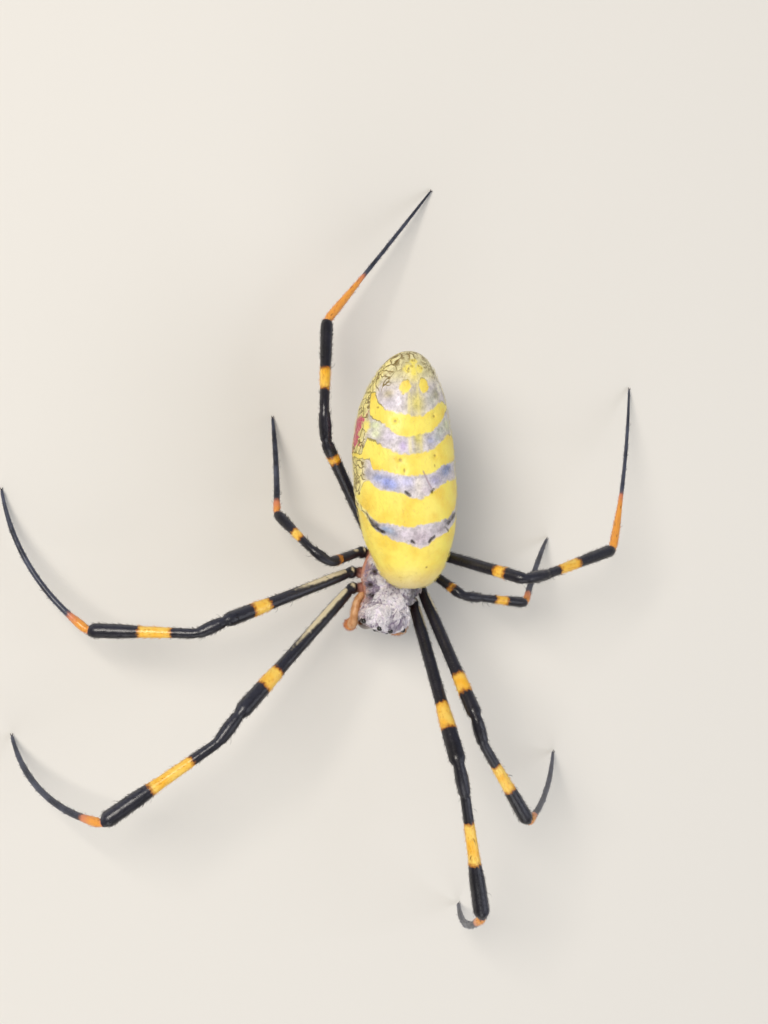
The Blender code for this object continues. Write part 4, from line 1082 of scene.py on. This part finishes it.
def makeCarapaceCoat():    # hairs lean together in small locks, with painted light and shade: bright in the middle of each and grey between them
    settings = {"count": 15000, "length": (0.26, 0.44), "width": (0.036, 0.060), "lock": 0.30, "locks": 520}
    rng = np.random.default_rng(11)
    points, normals, triangles, mix = scatter(carapace, settings["count"], rng, "hairy")
    station = (readAttribute(carapace, "station")[triangles] * mix).sum(1)
    side = (readAttribute(carapace, "side")[triangles] * mix).sum(1)
    lumps = (readAttribute(carapace, "lumps")[triangles] * mix).sum(1)
    relief = carapaceRelief(station, side)
    pits = np.zeros(len(points))
    for pitStation, pitSide in carapacePits:
        pits = np.maximum(pits, blob(np.abs(side), station, pitSide, pitStation, 0.27, 0.22))
    keep = rng.random(len(points)) > 0.97 * smoothStep(0.30, 0.55, pits)
    points, normals, station, side = points[keep], normals[keep], station[keep], side[keep]
    lumps, relief, pits = lumps[keep], relief[keep], pits[keep]
    count = len(points)
    centres = points[rng.choice(count, settings["locks"], replace=False)]
    tree = KDTree(len(centres))
    for i, centre in enumerate(centres):
        tree.insert(centre, i)
    tree.balance()
    found = [tree.find(p) for p in points]
    nearest = np.array([f[1] for f in found])
    gap = np.array([f[2] for f in found])
    swirl = (noiseAt(centres, 1.3, 7.0) - 0.5) * 5.0 + rng.normal(0, 0.45, len(centres))
    angle = swirl[nearest] + rng.normal(0, 0.25, count)
    lies = forward * np.cos(angle)[:, None] + leftward * np.sin(angle)[:, None]
    lies = lies + (centres[nearest] - points) / settings["lock"] * 1.1
    lies = unit(lies - normals * np.einsum("ij,ij->i", lies, normals)[:, None])
    edge = smoothStep(0.80, 1.0, np.abs(side) / np.interp(station, bodySections[:, 0], bodySections[:, 1]))
    lengths = rng.uniform(*settings["length"], count)
    lengths *= (0.55 + 0.45 * smoothStep(0.2, 1.2, station)) * (1 - 0.35 * edge)
    widths = rng.uniform(*settings["width"], count)
    rise = 0.22 + 0.38 * (1 - smoothStep(0.05, 0.30, gap))
    bright = np.array(linearColour("#FFFBFF")[:3])
    grey = np.array(linearColour("#A598AE")[:3])
    pink = np.array(linearColour("#DDB0A0")[:3])
    shade = np.array(linearColour("#6B6868")[:3])
    lockTone = rng.normal(0, 0.16, len(centres))[nearest]
    # painted light and shade: brighter on raised lumps and in the middle of each lock, darker in the folds between
    # locks, in the furrows and about the pits; the lock tone and noise are random
    light = 1.05 * smoothStep(0.30, 0.72, lumps) + 0.22 * (1 - smoothStep(0.05, 0.26, gap)) + 0.08 + lockTone
    light += 2.2 * relief + rng.normal(0, 0.10, count)
    # painted light: two soft brighter pools on the right half of the thorax's dome and of the head
    light += 0.25 * blob(side, station, -0.2, 3.0, 1.0, 1.1) + 0.2 * blob(side, station, -0.8, 0.9, 0.9, 0.5)
    light = np.clip(light, 0, 1)
    colours = grey + (bright - grey) * light[:, None]
    # painted shade: the hair on the left flank of the thorax, behind the head, is darkened towards grey
    paintedShade = smoothStep(1.25, 1.6, side) * smoothStep(2.2, 2.6, station) * 0.62
    colours = colours + (shade - colours) * paintedShade[:, None]
    colours = colours + (pink - colours) * (0.75 * edge * (1 - paintedShade) * (0.4 + 0.6 * smoothStep(1.6, 2.6, station)))[:, None]
    colours = colours * (1 - 0.85 * smoothStep(0.20, 0.5, pits))[:, None]
    patches = np.stack([0.05 + 0.9 * np.clip(station / body["length"], 0, 1),
                        0.5 + 0.45 * np.clip(side / thoraxHalf, -1, 1)], 1)
    growTufts("head_and_thorax_coat", points, normals, lies, lengths, widths, rise, patches, colours,
              silverHair)


makeCarapaceCoat()
print("silver coat ready")


def makeAbdomenCoat():    # fine short down that lies towards the rear, denser at the front, with the skin's colours
    settings = {"count": 7000, "length": (0.20, 0.42), "width": 0.016}
    rng = np.random.default_rng(23)
    share = np.concatenate([rng.beta(1.3, 1.3, settings["count"]) * 0.96 + 0.02, rng.uniform(0.005, 0.09, 900)])
    turn = rng.uniform(-180, 180, len(share))
    points = abdomenPoints(share, turn)
    alongStep = abdomenPoints(share + 0.002, turn) - points
    aroundStep = abdomenPoints(share, turn + 0.5) - points
    normals = unit(np.cross(alongStep, aroundStep))
    normals *= np.sign(np.einsum("ij,ij->i", normals, points - abdomenPoints(share, turn, -1.0)))[:, None]
    lies = unit(alongStep) + 0.25 * rng.normal(0, 1, (len(points), 1)) * unit(aroundStep)
    lies = unit(lies - normals * np.einsum("ij,ij->i", lies, normals)[:, None])
    ground = paintAbdomen(share, turn)
    yellow = np.array(linearColour("#FFE534")[:3])
    inBand = smoothStep(-0.05, 0.05, measureBands(share, turn))[:, None]
    colours = ground + (yellow - ground) * inBand
    colours = colours + (np.array(linearColour("#F4EAD0")[:3]) - colours) * 0.35
    lengths = rng.uniform(*settings["length"], len(points)) * (1 + 0.5 * (1 - smoothStep(0.03, 0.12, share)))
    widths = np.full(len(points), settings["width"])
    patches = np.stack([0.03 + 0.94 * share, 0.5 + 0.47 * turn / 180], 1)
    growTufts("abdomen_down", points + shift, normals, lies, lengths, widths, 0.35, patches, colours, silverHair)


makeAbdomenCoat()
print("abdomen down ready")


# Bristles of the legs: short ones all over, and a few long spines
def makeLegCoat(name, leg, seed):
    settings = {"count": 2600, "length": (0.15, 0.30), "width": 0.030, "spines": 26, "spineLength": (0.35, 0.62)}
    rng = np.random.default_rng(seed)
    hip, knee, shin, ankle, tarsus, tip = leg["marks"]
    share = leg["pair"]
    count = int(settings["count"] * tip / 44)
    points, normals, triangles, mix = scatter(leg["tube"], count, rng)
    place = (readAttribute(leg["tube"], "along")[triangles] * mix).sum(1)
    around = (readAttribute(leg["tube"], "around")[triangles] * mix)
    around = np.where(np.ptp(around, axis=1) > 0, readAttribute(leg["tube"], "around")[triangles[:, 0]], 0)
    yellow = (readAttribute(leg["tube"], "yellow")[triangles] * mix).sum(1)
    orange = (readAttribute(leg["tube"], "orange")[triangles] * mix).sum(1)
    shown = place > hip - 1.2
    points, normals, place, around = points[shown], normals[shown], place[shown], around[shown]
    yellow, orange = yellow[shown], orange[shown]
    lies = np.stack([np.interp(place, leg["along"], leg["tangents"][:, k]) for k in range(3)], 1)
    lies = unit(lies - normals * np.einsum("ij,ij->i", lies, normals)[:, None])
    lengths = rng.uniform(*settings["length"], len(points))
    lengths *= np.where(place > ankle, 0.8, 1.0) * np.where(place > tarsus, 0.7, 1.0)
    widths = np.full(len(points), settings["width"])
    rise = rng.uniform(0.35, 0.75, len(points))
    black = np.array(linearColour("#1B1822")[:3])
    gold = np.array(linearColour("#E8A93A")[:3])
    grey = np.array(linearColour("#5C5F70")[:3])
    colours = np.where((yellow > 0.05)[:, None], gold, black)
    colours = np.where((orange > 0.1)[:, None], np.array(linearColour("#D98B55")[:3]), colours)
    colours = np.where(((place > ankle) & (orange <= 0.1))[:, None], grey, colours)
    # bristles on the cream streak and the trochanter take its cream: part pale hair, part painted highlight
    streak = (readAttribute(leg["tube"], "streak")[triangles] * mix).sum(1)[shown]
    colours = np.where((streak > 0.45)[:, None], np.array(linearColour("#DDD0AE")[:3]), colours)
    amber = (readAttribute(leg["tube"], "amber")[triangles] * mix).sum(1)[shown]
    colours = np.where((amber > 0.5)[:, None], np.array(linearColour("#8C6454")[:3]), colours)
    spineCount = int(settings["spines"] * tip / 44)
    spinePlaces = np.sort(rng.uniform(hip + 2, tarsus, spineCount))
    order = np.array([int(np.argmin(np.abs(place - s) + rng.random(len(place)) * 0.4)) for s in spinePlaces])
    lengths[order] = rng.uniform(*settings["spineLength"], spineCount) * np.where(place[order] > ankle, 0.6, 1.0)
    widths[order] = 0.045
    rise[order] = 0.8
    colours[order] = black
    patches = np.stack([0.03 + 0.94 * place / tip, 0.5 + 0.45 * around / 180], 1)
    growTufts(f"leg_{name}_bristles", points, normals, lies, lengths, widths, rise, patches, colours, blackHair)


for number, (name, leg) in enumerate(legs.items()):
    makeLegCoat(name, leg, 40 + number)
print("leg bristles ready")


# Jaws, fangs, palps, stalk and spinnerets

# Smooth shell of one colour family, its tone varying in soft clouds
def shellMaterial(name, baseCode, paleCode, roughness, coat):
    m = emptyMaterial(name)
    place = addNode(m, "ShaderNodeTexCoord", {}, {})
    clouds = addNode(m, "ShaderNodeTexNoise", {}, {"Vector": (place, "Object"), "Detail": 4.0,
                                                   "Scale": 1 / (0.7 * millimetre)})
    tone = addNode(m, "ShaderNodeMapRange", {}, {"Value": (clouds, "Fac"), "From Min": 0.35, "From Max": 0.65})
    colour = addNode(m, "ShaderNodeMixRGB", {}, {"Fac": (tone, "Result"), "Color1": linearColour(baseCode),
                                                 "Color2": linearColour(paleCode)})
    grain = addNode(m, "ShaderNodeTexVoronoi", {}, {"Vector": (place, "Object"), "Scale": 1 / (0.12 * millimetre)})
    bump = addNode(m, "ShaderNodeBump", {}, {"Height": (grain, "Distance"), "Distance": 0.00003, "Strength": 0.4})
    shader = addNode(m, "ShaderNodeBsdfPrincipled", {},
                     {"Base Color": (colour, "Color"), "Roughness": roughness, "IOR": 1.5, "Coat Weight": coat,
                      "Coat Roughness": 0.15, "Normal": (bump, "Normal")})
    addNode(m, "ShaderNodeOutputMaterial", {}, {"Surface": (shader, "BSDF")})
    return m


# Tan skin that turns a deeper orange on the last segment
def palpMaterial():
    look = {"tan": "#BE8250", "tanPale": "#DDAE80", "tip": "#D9792E", "tipPale": "#E89C54"}
    m = emptyMaterial("orange_palp_skin")
    place = addNode(m, "ShaderNodeTexCoord", {}, {})
    tip = addNode(m, "ShaderNodeAttribute", {"attribute_name": "tip"}, {})
    clouds = addNode(m, "ShaderNodeTexNoise", {}, {"Vector": (place, "Object"), "Detail": 4.0,
                                                   "Scale": 1 / (0.5 * millimetre)})
    tone = addNode(m, "ShaderNodeMapRange", {}, {"Value": (clouds, "Fac"), "From Min": 0.35, "From Max": 0.65})
    tan = addNode(m, "ShaderNodeMixRGB", {}, {"Fac": (tone, "Result"), "Color1": linearColour(look["tan"]),
                                              "Color2": linearColour(look["tanPale"])})
    orange = addNode(m, "ShaderNodeMixRGB", {}, {"Fac": (tone, "Result"), "Color1": linearColour(look["tip"]),
                                                 "Color2": linearColour(look["tipPale"])})
    colour = addNode(m, "ShaderNodeMixRGB", {}, {"Fac": (tip, "Fac"), "Color1": (tan, "Color"),
                                                 "Color2": (orange, "Color")})
    bump = addNode(m, "ShaderNodeBump", {}, {"Height": (clouds, "Fac"), "Distance": 0.00004, "Strength": 0.5})
    shader = addNode(m, "ShaderNodeBsdfPrincipled", {},
                     {"Base Color": (colour, "Color"), "Roughness": 0.45, "IOR": 1.5, "Normal": (bump, "Normal")})
    addNode(m, "ShaderNodeOutputMaterial", {}, {"Surface": (shader, "BSDF")})
    return m


jawShell = shellMaterial("polished_jaw_shell", "#2A1510", "#4A2418", 0.25, 0.4)
fangShell = shellMaterial("dark_fang_horn", "#140A08", "#3A1610", 0.15, 0.5)
palpShell = palpMaterial()
stalkShell = shellMaterial("brown_stalk_skin", "#4A2C1C", "#7A5236", 0.4, 0.1)
spinneretShell = shellMaterial("amber_spinneret_skin", "#8C4A22", "#C98A52", 0.45, 0.1)

palpPaths = {
    "left": ((3.0, 1.3, 6.7), (2.65, 1.72, 6.75), (1.9, 2.20, 6.85), (0.85, 2.55, 6.8), (0.22, 2.48, 6.4),
             (0.02, 2.34, 5.2), (0.02, 2.15, 4.0)),
    "right": ((3.0, 1.3, 6.7), (2.65, 1.72, 6.75), (1.9, 2.15, 7.0), (0.6, 2.15, 7.15), (-0.15, 1.98, 6.8),
              (-0.42, 1.82, 5.6), (-0.40, 1.68, 4.05)),
}


def makeMouthParts():
    palps = {}
    for sideName, sign in (("left", 1), ("right", -1)):
        jawPath = [bodyPoint(station, sign * side, height) + shift for station, side, height in
                   ((0.75, 0.62, 8.3), (0.45, 0.71, 7.05), (0.12, 0.71, 5.8), (0.30, 0.70, 4.25))]
        points, along, arcs = roundedPath(jawPath, 0.12, 1.2)
        total = along[-1]
        radii = profile([(0, .44), (.22 * total, .62), (.48 * total, .68), (.76 * total, .56), (.94 * total, .38),
                         (.985 * total, .22), (total, .06)], along)
        jaw = sweep(f"chelicera_{sideName}_shell", points, radii, 20)
        finish(jaw, jawShell, (f"chelicera_{sideName}",))
        fangPath = [bodyPoint(station, sign * side, height) + shift for station, side, height in
                    ((0.32, 0.70, 4.45), (0.36, 0.70, 4.0), (0.48, 0.64, 3.5), (0.84, 0.46, 3.2))]
        points, along, arcs = roundedPath(fangPath, 0.06, 0.3)
        radii = profile([(0, .22), (.4 * along[-1], .17), (along[-1] - .02, .03), (along[-1], .012)], along)
        fang = sweep(f"fang_{sideName}_horn", points, radii, 16)
        finish(fang, fangShell, (f"fang_{sideName}",))
        palpPath = [bodyPoint(station, sign * side, height) + shift
                    for station, side, height in palpPaths[sideName]]
        points, along, arcs = roundedPath(palpPath, 0.10, 0.8)
        total = along[-1]
        radii = profile([(0, .26), (.15 * total, .32), (.36 * total, .38), (.43 * total, .36), (.455 * total, .33),
                         (.49 * total, .38), (.58 * total, .42), (.62 * total, .40), (.64 * total, .36),
                         (.68 * total, .46), (.82 * total, .45), (.94 * total, .26), (.985 * total, .12),
                         (total, .04)], along)
        palp = sweep(f"palp_{sideName}_skin", points, radii, 20)
        verts = getVertices(palp)
        nearest = np.array([int(np.argmin(((points - v) ** 2).sum(1))) for v in verts])
        setAttribute(palp, "tip", smoothStep(.62, .66, along[nearest] / total))
        setAttribute(palp, "along", along[nearest] / total)
        finish(palp, palpShell, (f"palp_{sideName}",))
        palps[sideName] = {"tube": palp, "points": points, "along": along / total}
    return palps


palps = makeMouthParts()


def makePalpCoats():
    settings = {"count": 650, "length": (0.14, 0.30), "width": 0.026}
    for number, (sideName, palp) in enumerate(palps.items()):
        rng = np.random.default_rng(80 + number)
        points, normals, triangles, mix = scatter(palp["tube"], settings["count"], rng)
        place = (readAttribute(palp["tube"], "along")[triangles] * mix).sum(1)
        tangents = unit(np.gradient(palp["points"], axis=0))
        lies = np.stack([np.interp(place, palp["along"], tangents[:, k]) for k in range(3)], 1)
        lies = unit(lies - normals * np.einsum("ij,ij->i", lies, normals)[:, None])
        lengths = rng.uniform(*settings["length"], len(points)) * (1 + 0.3 * smoothStep(.6, .7, place))
        widths = np.full(len(points), settings["width"])
        tan = np.array(linearColour("#C98F5E")[:3])
        tip = np.array(linearColour("#C4692A")[:3])
        colours = tan + (tip - tan) * smoothStep(.6, .66, place)[:, None]
        around = np.degrees(np.arctan2(normals[:, 0], normals[:, 2]))
        patches = np.stack([0.05 + 0.9 * place, 0.5 + 0.45 * around / 180], 1)
        growTufts(f"palp_{sideName}_bristles", points, normals, lies, lengths, widths, 0.5, patches, colours,
                  blackHair)


makePalpCoats()


def makeClaws():    # two small curved claws at the tip of each foot
    parts = []
    for name, leg in legs.items():
        tip = leg["points"][-1]
        aim = leg["tangents"][-1]
        across = unit(np.cross(aim, up))
        level = unit(aim * np.array([1, 1, 0]))
        for sign in (-1, 1):
            start = tip - aim * 0.12 + across * (sign * 0.04)
            middle = start + (level * 0.16 + across * (sign * 0.05))
            end = np.array([middle[0] + level[0] * 0.09, middle[1] + level[1] * 0.09, 0.015])
            middle[2] = max(middle[2], 0.12)
            start[2] = max(start[2], 0.06)
            points, along, arcs = roundedPath([start, middle, end], 0.03, 0.1)
            radii = profile([(0, .035), (.5 * along[-1], .028), (along[-1], .006)], along)
            parts.append(sweep("claw", points, radii, 8))
    deselect()
    for part in parts:
        part.select_set(True)
    bpy.context.view_layer.objects.active = parts[0]
    bpy.ops.object.join()
    claws = bpy.context.object
    claws.name = "foot_claws"
    finish(claws, fangShell)


makeClaws()
print("mouth parts and claws ready")


def makeEyes():
    material = emptyMaterial("black_eye_lens")    # a wet black lens: dark pigment under a clear dome
    shader = addNode(material, "ShaderNodeBsdfPrincipled", {},
                     {"Base Color": linearColour("#0B0809"), "Roughness": 0.06, "IOR": 1.5, "Coat Weight": 0.6,
                      "Coat Roughness": 0.03})
    addNode(material, "ShaderNodeOutputMaterial", {}, {"Surface": (shader, "BSDF")})
    names = [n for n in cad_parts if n.startswith("eye")]
    for name in sorted(names):
        low, high = (np.array(corner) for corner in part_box(name))
        middle = 0.5 * (low + high)
        radius = 0.5 * (high - low)[0]
        stack = (-1, 1) if name.startswith("eyes_side") else (0,)
        parts = []
        for step in stack:
            deselect()
            bpy.ops.mesh.primitive_uv_sphere_add(segments=32, ring_count=20, radius=1)
            ball = bpy.context.object
            spread = 0.5 * (high - low)[2] - radius
            centre = middle / millimetre + up * (step * spread / millimetre)
            setVertices(ball, getVertices(ball) * millimetre * (radius / millimetre) + centre)
            parts.append(ball)
        deselect()
        for part in parts:
            part.select_set(True)
        bpy.context.view_layer.objects.active = parts[0]
        if len(parts) > 1:
            bpy.ops.object.join()
        eye = bpy.context.view_layer.objects.active
        eye.name = f"{name}_lens"
        bpy.ops.object.shade_smooth()
        finish(eye, material, (name,))


makeEyes()


def makeStalkAndSpinnerets():
    low = bodyPoint(7.7, 0, 7.8) + shift
    lowOut = bodyPoint(8.4, 0, 7.85) + shift
    high = abdomenPoints(0.235, 180.0) + shift
    inside = high + up * 0.8
    bend = 0.5 * (lowOut + high) - up * 0.15
    points, along, arcs = roundedPath([low, lowOut, bend, high, inside], 0.1, 0.4)
    total = along[-1]
    radii = profile([(0, .30), (.25 * total, .42), (.5 * total, .38), (.8 * total, .55), (total, .6)], along)
    stalk = sweep("pedicel_skin", points, radii, 20)
    finish(stalk, stalkShell, ("pedicel",))
    share = 0.85
    slope = abdomenPoints(share + .01, 180.0) - abdomenPoints(share - .01, 180.0)
    outward = unit(np.cross(slope, abdomenSide))
    toRear = np.cross(abdomenSide, outward)
    base = abdomenPoints(share, 180.0) + shift
    parts = []
    points, along, arcs = roundedPath([base - outward * 0.3, base + outward * 0.2, base + outward * 0.95], 0.06, 0.2)
    radii = profile([(0, 1.1), (.4 * along[-1], 1.02), (.8 * along[-1], .84), (.95 * along[-1], .70),
                     (along[-1], .4)], along)
    parts.append(sweep("spinneret_base", points, radii, 28))
    rows = ((0.38, 0.36, 0.95), (0.0, 0.20, 0.7), (-0.38, 0.34, 1.0), (0.85, 0.0, 0.55))
    for shiftAlong, spread, reach in rows:
        for sign in ((1, -1) if spread else (1,)):
            start = base + outward * 0.5 + abdomenSide * (sign * spread) + toRear * shiftAlong
            aim = unit(outward + toRear * (0.35 - 0.5 * shiftAlong))
            points, along, arcs = roundedPath([start, start + aim * 0.5 * (reach + .3), start + aim * (reach + .3)], 0.05, 0.1)
            radii = profile([(0, .31), (.45 * along[-1], .28), (.55 * along[-1], .24), (.9 * along[-1], .17),
                             (along[-1], .05)], along)
            parts.append(sweep("spinneret", points, radii, 14))
    deselect()
    for part in parts:
        part.select_set(True)
    bpy.context.view_layer.objects.active = parts[0]
    bpy.ops.object.join()
    cluster = bpy.context.object
    cluster.name = "spinnerets_skin"
    finish(cluster, spinneretShell, ("spinnerets",))


makeStalkAndSpinnerets()
print("stalk and spinnerets ready")
